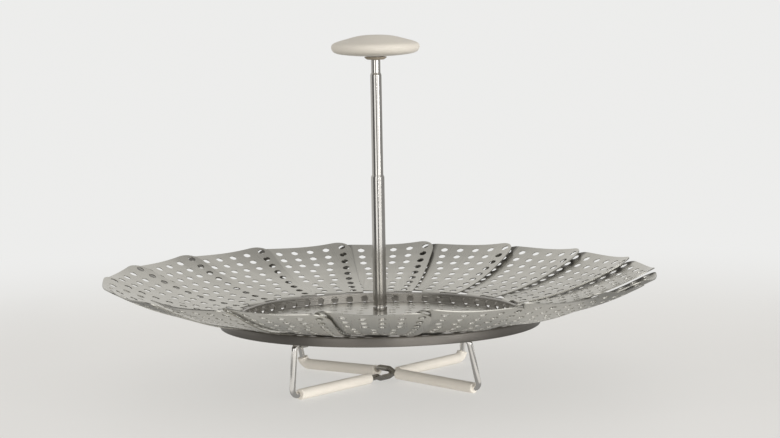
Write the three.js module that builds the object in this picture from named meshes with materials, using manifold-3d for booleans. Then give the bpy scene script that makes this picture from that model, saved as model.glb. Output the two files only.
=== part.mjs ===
// A collapsible steamer basket: hinged perforated petals round a pan, a telescoping handle in the
// middle and two wire legs that cross under the pan and fold flat against it.
// Millimetres and degrees, +Z up, the table at Z = 0 under the handle, the front towards -Y.
import * as THREE from "three";
import { mergeVertices } from "three/addons/utils/BufferGeometryUtils.js";
import Module from "manifold-3d";

// Petals: plan angles are turned about the handle, clockwise as seen from above.
const PETAL_COUNT = 18;
const RIM_RADIUS = 140;
const PETAL_OVERLAP_DEG = 3.5;
const PETAL_CORNER_RADIUS = 9;
const PETAL_SLOPE_AT_HINGE = 0.075;
const PETAL_SLOPE_GAIN = 0.22;
const PETAL_CUP = 4;
const PETAL_TWIST = 3.7;
const SHEET = 0.5;
const FIRST_PETAL_DEG = 8.5;

// Petal hinges: a rolled knuckle on each petal turns on a bar left between two slots of the pan.
const HINGE_RADIUS = 76;
const HINGE_YAW_DEG = 14;
const KNUCKLE_BORE = 1;
const KNUCKLE_WALL = 0.7;
const KNUCKLE_LENGTH = 12;
const KNUCKLE_LEAD = 0.9;
const KNUCKLE_WRAP_DEG = 240;
const HINGE_BAR_WIDTH = 1.4;
const HINGE_SLOT_WIDTH = 1.3;
const PETAL_FOOT = 2.2;

// Perforation
const HOLE_RADIUS = 1.9;
const HOLE_SIDES = 4;
const PETAL_HOLE_ROWS = 4;
const PETAL_HOLE_PITCH = 12;
const FLOOR_HOLE_RINGS = 3;
const FLOOR_HOLE_PITCH = 17;

// Pan
const SKIRT_BOTTOM = 30;
const SKIRT_RADIUS = 81.4;
const SHELF_HEIGHT = 5;
const WALL_RADIUS = 70.4;
const FLOOR_HEIGHT = 1;
const PAN_SHEET = 0.7;
const PAN_EDGE = 0.6;
const PAN_SIDES = 54;

// Handle: the tubes and the stem show these lengths when it is drawn out.
const LOWER_TUBE_RADIUS = 3.45;
const LOWER_TUBE_SHOWN = 74.6;
const MIDDLE_TUBE_RADIUS = 2.9;
const MIDDLE_TUBE_SHOWN = 51.6;
const STEM_RADIUS = 2.4;
const STEM_SHOWN = 6.8;
const TUBE_WALL = 0.35;
const TUBE_LIP = 1;
const TUBE_FOOT = 7;
const COLLAR_HEIGHT = 1.7;
const COLLAR_RADIUS = 5.6;
const COLLAR_NECK_RADIUS = 3.7;
const KNOB_RADIUS = 22.3;
const KNOB_THICKNESS = 10.7;
const KNOB_EDGE_SHARE = 0.42;
const SPIGOT_RADIUS = 2;
const SPIGOT_REACH = 5;
const WASHER_RADIUS = 6;
const WASHER_THICKNESS = 1;
const NUT_FLATS = 7;
const NUT_THICKNESS = 2.6;
const TUBE_SIDES = 20;

// Legs: each is a wire bail in its own plane, leaning from upright about its pivots.
const WIRE_RADIUS = 1.5;
const SLEEVE_RADIUS = 2.7;
const PIVOT_BEND = 3.5;
const FOOT_BEND = 4;
const KINK_HALF = 6.8;
const KINK_BEND = 2.75;
const PIVOT_REACH = 9;
const SADDLE_LENGTH = 5;
const SADDLE_SHEET = 0.8;
const SADDLE_FLANGE = 3.4;
const WIRE_SIDES = 8;
const SLEEVE_SIDES = 12;
const LEG_A = {
  headingDeg: -45, leanDeg: 16, offset: -4, shift: 0, rise: 1.9, kink: 2.2,
  span: { far: 61, near: 65 }, sleeveIn: { far: 8.3, near: 7.4 }, sleeveOut: { far: 64.2, near: 60 },
};
const LEG_B = {
  headingDeg: 52, leanDeg: -5, offset: 1.8, shift: 3.5, rise: 0, kink: -1.1,
  span: { far: 74, near: 67 }, sleeveIn: { far: 9.5, near: 14.5 }, sleeveOut: { far: 65, near: 71.4 },
};

// Play between pieces that move or rest on each other.
const PLAY = 0.3;
const SLIDING_PLAY = 0.05;

const rad = THREE.MathUtils.degToRad;
const petalPitch = 360 / PETAL_COUNT;
const petalHalfAngle = rad((petalPitch + PETAL_OVERLAP_DEG) / 2);
const yaw = rad(HINGE_YAW_DEG);
const shelfTop = SKIRT_BOTTOM + SHELF_HEIGHT;
const floorTop = SKIRT_BOTTOM + FLOOR_HEIGHT;
const floorBottom = floorTop - PAN_SHEET;
const hingeHeight = shelfTop - PAN_SHEET / 2;
const knuckleMiddle = KNUCKLE_BORE + KNUCKLE_WALL / 2 - PLAY / 5;
const pivotHeight = floorBottom - PLAY - WIRE_RADIUS;

const steel = { color: 0xb4b1a9, metalness: 0.9, roughness: 0.35 };
const cream = { color: 0xded6c8, metalness: 0, roughness: 0.6 };

const wasm = await Module();
wasm.setup();

// A closed geometry as a solid, and back again.
function solid(geometry) {
  const bare = geometry.clone();
  bare.deleteAttribute("normal");
  bare.deleteAttribute("uv");
  const merged = mergeVertices(bare, 1e-4);
  return new wasm.Manifold(
    new wasm.Mesh({
      numProp: 3,
      vertProperties: merged.attributes.position.array,
      triVerts: new Uint32Array(merged.index.array),
    }),
  );
}
function geometryOf(body) {
  const mesh = body.getMesh();
  const geometry = new THREE.BufferGeometry();
  geometry.setAttribute("position", new THREE.BufferAttribute(mesh.vertProperties, 3));
  geometry.setIndex(new THREE.BufferAttribute(mesh.triVerts, 1));
  return geometry;
}
function cut(geometry, tools) {
  const tool = tools.map(solid).reduce((all, next) => all.add(next));
  return geometryOf(solid(geometry).subtract(tool));
}

// A body turned about the handle from [radius, height] points listed counter-clockwise.
function turned(profile, sides) {
  const points = profile.map(([r, z]) => new THREE.Vector2(r, z));
  return new THREE.LatheGeometry(points, sides).rotateX(Math.PI / 2);
}

// A many-sided ring of points whose flats lie at the given radius, the first flat facing "facing".
function ring(radius, sides, facing) {
  const reach = radius / Math.cos(Math.PI / sides);
  return Array.from({ length: sides }, (_, i) => {
    const angle = facing + ((i + 0.5) * 2 * Math.PI) / sides;
    return [reach * Math.cos(angle), reach * Math.sin(angle)];
  });
}

// A body whose section follows a plane path; a hole section of the same count makes it a tube.
function swept(path, normal, section, hole) {
  const loops = hole ? [section, hole] : [section];
  const count = section.length;
  const rows = path.length * count;
  const positions = [];
  for (const loop of loops)
    path.forEach((point, i) => {
      const from = path[Math.max(i - 1, 0)];
      const to = path[Math.min(i + 1, path.length - 1)];
      const tangent = to.clone().sub(from).normalize();
      const side = tangent.clone().cross(normal);
      for (const [a, b] of loop)
        positions.push(...point.clone().addScaledVector(normal, a).addScaledVector(side, b));
    });
  const faces = [];
  const quad = (a, b, c, d) => faces.push(a, b, c, a, c, d);
  for (let j = 0; j < count; j++) {
    const k = (j + 1) % count;
    for (let i = 0; i + 1 < path.length; i++) {
      const here = i * count;
      const next = here + count;
      quad(here + j, here + k, next + k, next + j);
      if (hole) quad(rows + here + k, rows + here + j, rows + next + j, rows + next + k);
    }
    const last = rows - count;
    if (hole) {
      quad(k, j, rows + j, rows + k);
      quad(last + j, last + k, rows + last + k, rows + last + j);
    } else if (j > 0 && k > 0) {
      faces.push(0, k, j);
      faces.push(last, last + j, last + k);
    }
  }
  const geometry = new THREE.BufferGeometry();
  geometry.setAttribute("position", new THREE.Float32BufferAttribute(positions, 3));
  geometry.setIndex(faces);
  return geometry;
}

// A plane path through corner points, each corner rounded to its own radius.
function rounded(corners, radii, steps) {
  const path = [];
  corners.forEach((corner, i) => {
    if (!radii[i]) {
      path.push(corner);
      return;
    }
    const before = corners[i - 1].clone().sub(corner).normalize();
    const after = corners[i + 1].clone().sub(corner).normalize();
    const half = before.angleTo(after) / 2;
    const middle = before.clone().add(after).normalize();
    const centre = corner.clone().addScaledVector(middle, radii[i] / Math.sin(half));
    const start = corner.clone().addScaledVector(before, radii[i] / Math.tan(half)).sub(centre);
    const turn = Math.PI - 2 * half;
    const way = Math.sign(before.cross(after)) * -1;
    const count = Math.max(2, Math.ceil((steps * turn) / (Math.PI / 2)));
    for (let k = 0; k <= count; k++) {
      const at = start.clone().rotateAround(new THREE.Vector2(), (way * turn * k) / count);
      path.push(at.add(centre));
    }
  });
  return path;
}

// The length of path between two distances from its middle.
function stretch(path, from, to) {
  const lengths = [0];
  for (let i = 1; i < path.length; i++)
    lengths.push(lengths[i - 1] + path[i].distanceTo(path[i - 1]));
  const middle = lengths[path.length - 1] / 2;
  const at = (wanted) => {
    const i = Math.max(1, lengths.findIndex((length) => length >= wanted));
    const share = (wanted - lengths[i - 1]) / (lengths[i] - lengths[i - 1]);
    return path[i - 1].clone().lerp(path[i], share);
  };
  const inside = path.filter((_, i) => lengths[i] > middle + from + 0.2 && lengths[i] < middle + to - 0.2);
  return [at(middle + from), ...inside, at(middle + to)];
}

const part = new THREE.Group();
function add(name, geometry, look) {
  const mesh = new THREE.Mesh(geometry, new THREE.MeshStandardMaterial(look));
  mesh.name = name;
  part.add(mesh);
  return mesh;
}

// Petal plan frame: x clockwise along the tangent, y outward from the handle.
const hingeSide = new THREE.Vector3(Math.sin(yaw), Math.cos(yaw), 0);
const hingeAlong = new THREE.Vector3(Math.cos(yaw), -Math.sin(yaw), 0);
const petalRun = RIM_RADIUS - HINGE_RADIUS;
function hingePoint(along, off) {
  const point = new THREE.Vector3(0, HINGE_RADIUS, 0);
  return point.addScaledVector(hingeAlong, along).addScaledVector(hingeSide, off);
}

// Height of a petal's middle surface: it rises from its own hinge line, steeper towards the rim,
// so the clockwise edge stands above the next petal. Both edges are cupped up towards the rim, and
// a twist takes back most of the lift of the clockwise edge, so both corners stand nearly level.
function petalHeight(x, y) {
  const off = x * hingeSide.x + (y - HINGE_RADIUS) * hingeSide.y;
  const share = off / petalRun;
  const rise = petalRun * share * (PETAL_SLOPE_AT_HINGE + PETAL_SLOPE_GAIN * share);
  const across = Math.atan2(x, y) / petalHalfAngle;
  const bend = across * (PETAL_CUP * across - PETAL_TWIST);
  return hingeHeight + knuckleMiddle + rise + bend * THREE.MathUtils.clamp(share, 0, 1) ** 2;
}

// Where a petal's straight side meets the line of its foot.
function footCorner(angle) {
  const direction = new THREE.Vector2(Math.sin(angle), Math.cos(angle));
  const reach =
    (PETAL_FOOT + HINGE_RADIUS * hingeSide.y) / (direction.x * hingeSide.x + direction.y * hingeSide.y);
  return direction.multiplyScalar(reach);
}

// The flat blank: a sector with rounded outer corners, a tongue for the knuckle and rows of holes.
function petalBlank() {
  const polar = (radius, angle) => new THREE.Vector2(radius * Math.sin(angle), radius * Math.cos(angle));
  const flat = (along, off) => {
    const point = hingePoint(along, off);
    return new THREE.Vector2(point.x, point.y);
  };
  const left = footCorner(-petalHalfAngle);
  const right = footCorner(petalHalfAngle);
  const sideSteps = 4;
  const cornerAngle = PETAL_CORNER_RADIUS / RIM_RADIUS;
  const outline = [];
  for (let i = 0; i < sideSteps; i++)
    outline.push(left.clone().lerp(polar(RIM_RADIUS - PETAL_CORNER_RADIUS, -petalHalfAngle), i / (sideSteps - 1)));
  const arcSteps = 6;
  const round = (side) => {
    const middle = polar(RIM_RADIUS - PETAL_CORNER_RADIUS, side * (petalHalfAngle - cornerAngle));
    const turn = side * (petalHalfAngle - cornerAngle / 2 + Math.PI / 4);
    return middle.add(new THREE.Vector2(Math.sin(turn), Math.cos(turn)).multiplyScalar(PETAL_CORNER_RADIUS * 0.96));
  };
  outline.push(round(-1));
  for (let i = 0; i <= arcSteps; i++) {
    const share = (2 * i) / arcSteps - 1;
    outline.push(polar(RIM_RADIUS, share * (petalHalfAngle - cornerAngle)));
  }
  outline.push(round(1));
  for (let i = 0; i < sideSteps; i++)
    outline.push(polar(RIM_RADIUS - PETAL_CORNER_RADIUS, petalHalfAngle).lerp(right, i / (sideSteps - 1)));
  const halfTongue = KNUCKLE_LENGTH / 2 - PLAY;
  const tongueEnd = KNUCKLE_LEAD / 5;
  outline.push(flat(halfTongue, PETAL_FOOT), flat(halfTongue, tongueEnd));
  outline.push(flat(-halfTongue, tongueEnd), flat(-halfTongue, PETAL_FOOT));

  const blank = new THREE.Shape(outline.reverse());
  const firstRow = HINGE_RADIUS + PETAL_HOLE_PITCH + PLAY;
  const lastRow = RIM_RADIUS - PETAL_CORNER_RADIUS;
  for (let row = 0; row < PETAL_HOLE_ROWS; row++) {
    const radius = THREE.MathUtils.lerp(firstRow, lastRow, row / Math.max(1, PETAL_HOLE_ROWS - 1));
    const width = 2 * radius * petalHalfAngle;
    const columns = Math.max(2, Math.round((width - PETAL_CORNER_RADIUS) / PETAL_HOLE_PITCH));
    for (let column = 0; column < columns; column++) {
      const angle = petalHalfAngle * ((2 * column + 1) / columns - 1);
      const middle = polar(radius, angle);
      const hole = ring(HOLE_RADIUS, HOLE_SIDES, angle).map(([x, y]) => new THREE.Vector2(middle.x + x, middle.y + y));
      blank.holes.push(new THREE.Path(hole.reverse()));
    }
  }
  return blank;
}

// A petal: the blank pressed to its curve, with the knuckle rolled under the tongue.
function petalGeometry() {
  const sheet = new THREE.ExtrudeGeometry(petalBlank(), { depth: SHEET, bevelEnabled: false });
  const at = sheet.getAttribute("position");
  const step = 0.05;
  for (let i = 0; i < at.count; i++) {
    const [x, y] = [at.getX(i), at.getY(i)];
    const slopeX = (petalHeight(x + step, y) - petalHeight(x - step, y)) / (2 * step);
    const slopeY = (petalHeight(x, y + step) - petalHeight(x, y - step)) / (2 * step);
    const normal = new THREE.Vector3(-slopeX, -slopeY, 1).normalize();
    const pressed = new THREE.Vector3(x, y, petalHeight(x, y));
    pressed.addScaledVector(normal, at.getZ(i) - SHEET / 2);
    at.setXYZ(i, pressed.x, pressed.y, pressed.z);
  }
  const start = Math.PI / 2;
  const wrap = rad(KNUCKLE_WRAP_DEG);
  const steps = 8;
  const arc = (radius) =>
    Array.from({ length: steps + 1 }, (_, i) => {
      const angle = start + (wrap * i) / steps;
      return new THREE.Vector2(radius * Math.cos(angle), radius * Math.sin(angle));
    });
  const outside = KNUCKLE_BORE + KNUCKLE_WALL;
  const section = new THREE.Shape([
    new THREE.Vector2(KNUCKLE_LEAD, KNUCKLE_BORE),
    new THREE.Vector2(KNUCKLE_LEAD, outside),
    ...arc(outside),
    ...arc(KNUCKLE_BORE).reverse(),
  ]);
  const roll = new THREE.ExtrudeGeometry(section, { depth: KNUCKLE_LENGTH, bevelEnabled: false });
  const foot = hingePoint(-KNUCKLE_LENGTH / 2, 0).setZ(hingeHeight);
  const frame = new THREE.Matrix4().makeBasis(hingeSide, new THREE.Vector3(0, 0, 1), hingeAlong);
  roll.applyMatrix4(frame.setPosition(foot));
  return geometryOf(solid(sheet).add(solid(roll)));
}

const petal = petalGeometry();
for (let i = 0; i < PETAL_COUNT; i++) {
  const name = "petal_" + String(i + 1).padStart(2, "0");
  add(name, petal, steel).rotation.z = rad(FIRST_PETAL_DEG + i * petalPitch - 90);
}

// Pan: a perforated floor, a low wall, a shelf that carries the hinges and a skirt outside it.
function panGeometry() {
  const under = PAN_EDGE - PAN_SHEET / 2;
  const bore = SPIGOT_RADIUS + PLAY;
  const pan = turned(
    [
      [bore, floorTop],
      [bore, floorBottom],
      [WALL_RADIUS + under, floorBottom],
      [WALL_RADIUS + PAN_SHEET, floorBottom + under],
      [WALL_RADIUS + PAN_SHEET, shelfTop - PAN_SHEET],
      [SKIRT_RADIUS - PAN_SHEET, shelfTop - PAN_SHEET],
      [SKIRT_RADIUS - PAN_SHEET, SKIRT_BOTTOM],
      [SKIRT_RADIUS, SKIRT_BOTTOM],
      [SKIRT_RADIUS, shelfTop - PAN_EDGE],
      [SKIRT_RADIUS - PAN_EDGE, shelfTop],
      [WALL_RADIUS + PAN_EDGE, shelfTop],
      [WALL_RADIUS, shelfTop - PAN_EDGE],
      [WALL_RADIUS, floorTop],
      [bore, floorTop],
    ],
    PAN_SIDES,
  );
  const tools = [];
  const slotMiddle = (HINGE_BAR_WIDTH + HINGE_SLOT_WIDTH) / 2;
  for (let i = 0; i < PETAL_COUNT; i++)
    for (const side of [-1, 1]) {
      const slot = new THREE.BoxGeometry(KNUCKLE_LENGTH + 4 * PLAY, HINGE_SLOT_WIDTH, 4 * PAN_SHEET);
      slot.rotateZ(-yaw);
      const at = hingePoint(0, side * slotMiddle);
      slot.translate(at.x, at.y, hingeHeight);
      tools.push(slot.rotateZ(rad(FIRST_PETAL_DEG + i * petalPitch - 90)));
    }
  for (let row = 1; row <= FLOOR_HOLE_RINGS; row++) {
    const radius = (WALL_RADIUS * (row + 0.5)) / (FLOOR_HOLE_RINGS + 1);
    const holes = Math.round((2 * Math.PI * radius) / FLOOR_HOLE_PITCH);
    for (let i = 0; i < holes; i++) {
      const hole = new THREE.CylinderGeometry(HOLE_RADIUS, HOLE_RADIUS, 4 * PAN_SHEET, HOLE_SIDES);
      hole.rotateX(Math.PI / 2).translate(radius, 0, floorTop);
      tools.push(hole.rotateZ((2 * Math.PI * i) / holes));
    }
  }
  return cut(pan, tools);
}
add("base_pan", panGeometry(), steel);

// Handle: a lower tube on a spigot through the floor, a middle tube and a stem that slide in it.
const lowerBore = LOWER_TUBE_RADIUS - TUBE_WALL;
const middleBore = MIDDLE_TUBE_RADIUS - TUBE_WALL;
const tubeFloor = floorTop + TUBE_FOOT;
const lowerTubeTop = floorTop + LOWER_TUBE_SHOWN;
const middleTubeTop = lowerTubeTop + MIDDLE_TUBE_SHOWN;
const collarBottom = middleTubeTop + STEM_SHOWN;
const middleFoot = lowerTubeTop - TUBE_LIP - PLAY - TUBE_FOOT;
const stemFoot = middleTubeTop - TUBE_LIP - PLAY - TUBE_FOOT;
const knobBottom = collarBottom + COLLAR_HEIGHT;
const stemTop = knobBottom + KNOB_THICKNESS / 2;

add(
  "lower_tube",
  turned(
    [
      [0, floorBottom - SPIGOT_REACH],
      [SPIGOT_RADIUS, floorBottom - SPIGOT_REACH],
      [SPIGOT_RADIUS, floorTop + PLAY],
      [LOWER_TUBE_RADIUS, floorTop + PLAY],
      [LOWER_TUBE_RADIUS, lowerTubeTop - TUBE_LIP / 2],
      [LOWER_TUBE_RADIUS - TUBE_WALL / 2, lowerTubeTop],
      [MIDDLE_TUBE_RADIUS + SLIDING_PLAY, lowerTubeTop],
      [MIDDLE_TUBE_RADIUS + SLIDING_PLAY, lowerTubeTop - TUBE_LIP],
      [lowerBore, lowerTubeTop - TUBE_LIP],
      [lowerBore, tubeFloor],
      [0, tubeFloor],
    ],
    TUBE_SIDES,
  ),
  steel,
);
add(
  "middle_tube",
  turned(
    [
      [middleBore, middleFoot],
      [lowerBore - SLIDING_PLAY, middleFoot],
      [lowerBore - SLIDING_PLAY, middleFoot + TUBE_FOOT],
      [MIDDLE_TUBE_RADIUS, middleFoot + TUBE_FOOT],
      [MIDDLE_TUBE_RADIUS, middleTubeTop - TUBE_LIP / 2],
      [MIDDLE_TUBE_RADIUS - TUBE_WALL / 2, middleTubeTop],
      [STEM_RADIUS + SLIDING_PLAY, middleTubeTop],
      [STEM_RADIUS + SLIDING_PLAY, middleTubeTop - TUBE_LIP],
      [middleBore, middleTubeTop - TUBE_LIP],
      [middleBore, middleFoot],
    ],
    TUBE_SIDES,
  ),
  steel,
);
add(
  "stem",
  turned(
    [
      [0, stemFoot],
      [middleBore - SLIDING_PLAY, stemFoot],
      [middleBore - SLIDING_PLAY, stemFoot + TUBE_FOOT],
      [STEM_RADIUS, stemFoot + TUBE_FOOT],
      [STEM_RADIUS, stemTop],
      [0, stemTop],
    ],
    TUBE_SIDES,
  ),
  steel,
);
add(
  "knob_collar",
  turned(
    [
      [STEM_RADIUS + PLAY, collarBottom],
      [COLLAR_NECK_RADIUS, collarBottom],
      [COLLAR_RADIUS, knobBottom - PLAY],
      [STEM_RADIUS + PLAY, knobBottom - PLAY],
      [STEM_RADIUS + PLAY, collarBottom],
    ],
    TUBE_SIDES,
  ),
  cream,
);

// Knob: a flattish underside rolling into a low dome, hollowed for the stem's end.
function knobGeometry() {
  const profile = [[STEM_RADIUS + PLAY, knobBottom]];
  const edge = knobBottom + KNOB_THICKNESS * KNOB_EDGE_SHARE;
  const steps = 5;
  for (let i = 0; i <= steps; i++) {
    const angle = (Math.PI / 2) * (i / steps - 1);
    const radius = KNOB_RADIUS * (0.72 + 0.28 * Math.cos(angle));
    profile.push([radius, edge + (edge - knobBottom) * Math.sin(angle)]);
  }
  const top = knobBottom + KNOB_THICKNESS;
  for (let i = 1; i < steps; i++) {
    const angle = (Math.PI / 2) * (i / steps);
    profile.push([KNOB_RADIUS * Math.cos(angle), edge + (top - edge) * Math.sin(angle)]);
  }
  profile.push([0, top], [0, stemTop + PLAY], [STEM_RADIUS + PLAY, stemTop + PLAY]);
  profile.push([STEM_RADIUS + PLAY, knobBottom]);
  return turned(profile, TUBE_SIDES + 8);
}
add("knob", knobGeometry(), cream);

// Washer and nut that hold the spigot under the floor
const washerTop = floorBottom - PLAY;
const nutTop = washerTop - WASHER_THICKNESS - PLAY;
function collarRing(radius, top, thickness, sides) {
  const bore = SPIGOT_RADIUS + PLAY;
  const profile = [
    [bore, top - thickness],
    [radius, top - thickness],
    [radius, top],
    [bore, top],
    [bore, top - thickness],
  ];
  return turned(profile, sides);
}
add("post_washer", collarRing(WASHER_RADIUS, washerTop, WASHER_THICKNESS, TUBE_SIDES), steel);
function nutGeometry() {
  const flat = new THREE.Shape(ring(NUT_FLATS / 2, 6, 0).map(([x, y]) => new THREE.Vector2(x, y)));
  const bore = ring(SPIGOT_RADIUS + PLAY, TUBE_SIDES, 0).map(([x, y]) => new THREE.Vector2(x, y));
  flat.holes.push(new THREE.Path(bore.reverse()));
  const nut = new THREE.ExtrudeGeometry(flat, { depth: NUT_THICKNESS, bevelEnabled: false });
  return nut.translate(0, 0, nutTop - NUT_THICKNESS);
}
add("post_nut", nutGeometry(), steel);

// A leg: its plane path starts and ends on the pivots, which turn in towards the middle. It runs
// down to the feet and across under the pan, rising or dipping where the two wires cross.
function legFrame(leg) {
  const heading = rad(leg.headingDeg);
  const along = new THREE.Vector3(Math.cos(heading), Math.sin(heading), 0);
  const fold = new THREE.Vector3(-Math.sin(heading), Math.cos(heading), 0);
  if (leg === LEG_B) fold.negate();
  const lean = rad(leg.leanDeg);
  const down = fold.clone().multiplyScalar(Math.sin(lean)).setZ(-Math.cos(lean));
  const pivot = fold.clone().multiplyScalar(leg.offset).addScaledVector(along, leg.shift).setZ(pivotHeight);
  return { along, down, pivot, normal: along.clone().cross(down) };
}
function legPath(leg) {
  const slope = leg.rise / (leg.span.far - FOOT_BEND);
  const drop = (pivotHeight - SLEEVE_RADIUS) / Math.cos(rad(leg.leanDeg)) + slope * FOOT_BEND;
  const run = (span) => [
    [span - PIVOT_REACH, 0, 0],
    [span, 0, PIVOT_BEND],
    [span, drop, FOOT_BEND],
    [KINK_HALF, drop - leg.rise, KINK_BEND],
    [KINK_HALF / 2, drop - leg.rise - leg.kink, KINK_BEND],
  ];
  const corners = [...run(leg.span.far).map(([u, w, r]) => [-u, w, r]), ...run(leg.span.near).reverse()];
  const points = corners.map(([u, w]) => new THREE.Vector2(u, w));
  return rounded(points, corners.map(([, , r]) => r), 6);
}
function addLeg(letter, leg, sleeves) {
  const { along, down, pivot, normal } = legFrame(leg);
  const path = legPath(leg);
  const place = (points) =>
    points.map((p) => pivot.clone().addScaledVector(along, p.x).addScaledVector(down, p.y));
  const facing = Math.atan2(-1, 0) - rad(leg.leanDeg) * (leg === LEG_B ? -1 : 1);
  const wire = ring(WIRE_RADIUS, WIRE_SIDES, facing);
  add("leg_wire_" + letter, swept(place(path), normal, wire), steel);
  const outside = ring(SLEEVE_RADIUS, SLEEVE_SIDES, facing);
  const inside = ring(WIRE_RADIUS + PLAY, SLEEVE_SIDES, facing);
  for (const [name, from, to] of sleeves)
    add(name, swept(place(stretch(path, from, to)), normal, outside, inside), cream);
}
addLeg("a", LEG_A, [
  ["sleeve_rear_left", -LEG_A.sleeveOut.far, -LEG_A.sleeveIn.far],
  ["sleeve_front_right", LEG_A.sleeveIn.near, LEG_A.sleeveOut.near],
]);
addLeg("b", LEG_B, [
  ["sleeve_front_left", -LEG_B.sleeveOut.far, -LEG_B.sleeveIn.far],
  ["sleeve_rear_right", LEG_B.sleeveIn.near, LEG_B.sleeveOut.near],
]);

// Saddles: straps under the floor that carry the pivots.
function saddleGeometry() {
  const bore = WIRE_RADIUS + PLAY;
  const out = bore + SADDLE_SHEET;
  const top = WIRE_RADIUS;
  const wide = out + SADDLE_FLANGE;
  const troughSteps = 6;
  const trough = (radius) =>
    Array.from({ length: troughSteps + 1 }, (_, i) => {
      const angle = Math.PI + (Math.PI * i) / troughSteps;
      return new THREE.Vector2(radius * Math.cos(angle), radius * Math.sin(angle));
    });
  const flange = top - SADDLE_SHEET;
  const section = new THREE.Shape([
    new THREE.Vector2(-wide, top),
    new THREE.Vector2(-wide, flange),
    new THREE.Vector2(-out, flange),
    ...trough(out),
    new THREE.Vector2(out, flange),
    new THREE.Vector2(wide, flange),
    new THREE.Vector2(wide, top),
    new THREE.Vector2(bore, top),
    ...trough(bore / Math.cos(Math.PI / (2 * troughSteps))).reverse(),
    new THREE.Vector2(-bore, top),
  ]);
  const strap = new THREE.ExtrudeGeometry(section, { depth: SADDLE_LENGTH, bevelEnabled: false });
  return strap.translate(0, 0, -SADDLE_LENGTH / 2);
}
function addSaddle(name, leg, end) {
  const { along, pivot } = legFrame(leg);
  const side = new THREE.Vector3(0, 0, 1).cross(along);
  const span = end < 0 ? leg.span.far : leg.span.near;
  const reach = span - PIVOT_REACH + SADDLE_LENGTH / 2 + PLAY;
  const frame = new THREE.Matrix4().makeBasis(side, new THREE.Vector3(0, 0, 1), along);
  frame.setPosition(pivot.clone().addScaledVector(along, end * reach));
  add(name, saddleGeometry().applyMatrix4(frame), steel);
}
addSaddle("saddle_rear_left", LEG_A, -1);
addSaddle("saddle_front_right", LEG_A, 1);
addSaddle("saddle_front_left", LEG_B, -1);
addSaddle("saddle_rear_right", LEG_B, 1);

export default part;
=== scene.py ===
# %% [markdown]
# # A collapsible steamer basket
# The basket is a shallow pan with a ring of punched steel petals hinged round it. A telescoping
# handle with a knob stands in its middle, and two wire legs in soft sleeves cross under it.
# The working model with its joints is loaded first and stays the frame for everything here: each
# piece stands for one of its solids and rides on the same body, so it folds and slides as that does.

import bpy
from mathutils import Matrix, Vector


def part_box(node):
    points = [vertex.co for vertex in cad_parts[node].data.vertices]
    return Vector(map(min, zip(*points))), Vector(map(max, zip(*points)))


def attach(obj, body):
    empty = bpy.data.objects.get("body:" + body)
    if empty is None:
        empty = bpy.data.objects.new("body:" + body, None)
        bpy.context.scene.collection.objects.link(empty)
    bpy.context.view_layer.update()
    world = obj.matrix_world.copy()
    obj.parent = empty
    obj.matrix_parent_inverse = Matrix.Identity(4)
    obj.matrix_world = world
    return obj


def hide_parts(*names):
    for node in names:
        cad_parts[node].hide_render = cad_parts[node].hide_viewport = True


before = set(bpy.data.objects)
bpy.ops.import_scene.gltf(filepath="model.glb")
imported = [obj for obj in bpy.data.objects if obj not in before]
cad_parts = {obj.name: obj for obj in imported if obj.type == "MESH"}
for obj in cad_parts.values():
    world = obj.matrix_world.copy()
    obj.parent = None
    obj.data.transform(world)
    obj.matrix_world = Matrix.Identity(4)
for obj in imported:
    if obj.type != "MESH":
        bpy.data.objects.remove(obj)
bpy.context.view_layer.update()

# %% Tools and units
import math

import bmesh
import bpy
from mathutils import Euler, Matrix, Quaternion, Vector

MM = 0.001
print("sizes below are millimetres, times", MM, "for Blender's metres")

# %% [markdown]
# ## The camera
# A long lens a good metre away flattens the basket and looks only a little down into it. The pan's
# middle, level with the lower edge of its skirt, is the gauge point: the camera is turned until that
# point falls on the pixel where it lies in the picture, instead of shifting the lens, so that the
# other views stay centred on the object too.

# %% Camera
FRAME_WIDTH = 780
FRAME_HEIGHT = 438
FOCAL_PIXELS = 2551
SENSOR_WIDTH = 36.0
CAMERA_DISTANCE = 1.3
CAMERA_ELEVATION = math.radians(8.3)
CAMERA_ROLL = math.radians(-1.05)
GAUGE_POINT = Vector((0, 0, 30 * MM))
GAUGE_PIXEL = (380.4, 322.9)


def linked(name, data):
    """Make an object and link it into the scene."""
    made = bpy.data.objects.new(name, data)
    bpy.context.scene.collection.objects.link(made)
    return made


def aim_camera():
    lens = bpy.data.cameras.new("view_of_the_table")
    lens.sensor_width = SENSOR_WIDTH
    lens.lens = FOCAL_PIXELS / FRAME_WIDTH * SENSOR_WIDTH
    camera = linked("view_of_the_table", lens)
    away = Vector((0, -math.cos(CAMERA_ELEVATION), math.sin(CAMERA_ELEVATION)))
    across = GAUGE_PIXEL[0] - FRAME_WIDTH / 2
    up = FRAME_HEIGHT / 2 - GAUGE_PIXEL[1]
    aside = Vector((0, 0, -1)).rotation_difference(Vector((across, up, -FOCAL_PIXELS)))
    level = away.to_track_quat("Z", "Y")
    turn = level @ Quaternion((0, 0, 1), CAMERA_ROLL) @ aside.inverted()
    camera.rotation_euler = turn.to_euler()
    camera.location = GAUGE_POINT + away * CAMERA_DISTANCE
    bpy.context.scene.camera = camera
    return camera


camera = aim_camera()
print("lens %.1f mm at %.2f m" % (camera.data.lens, CAMERA_DISTANCE))

# %% [markdown]
# ## A helper for node trees
# Materials and Geometry Nodes are both trees of nodes. One small helper makes a node, sets its
# options, and either links each input to another node's output or gives it a fixed value. A second
# one does sums with it.

# %% Node helpers
def step(tree, kind, feeds=None, **options):
    made = tree.nodes.new(kind)
    for option, value in options.items():
        setattr(made, option, value)
    for socket, feed in (feeds or {}).items():
        if isinstance(feed, bpy.types.NodeSocket):
            tree.links.new(feed, made.inputs[socket])
        else:
            made.inputs[socket].default_value = feed
    return made


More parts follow.
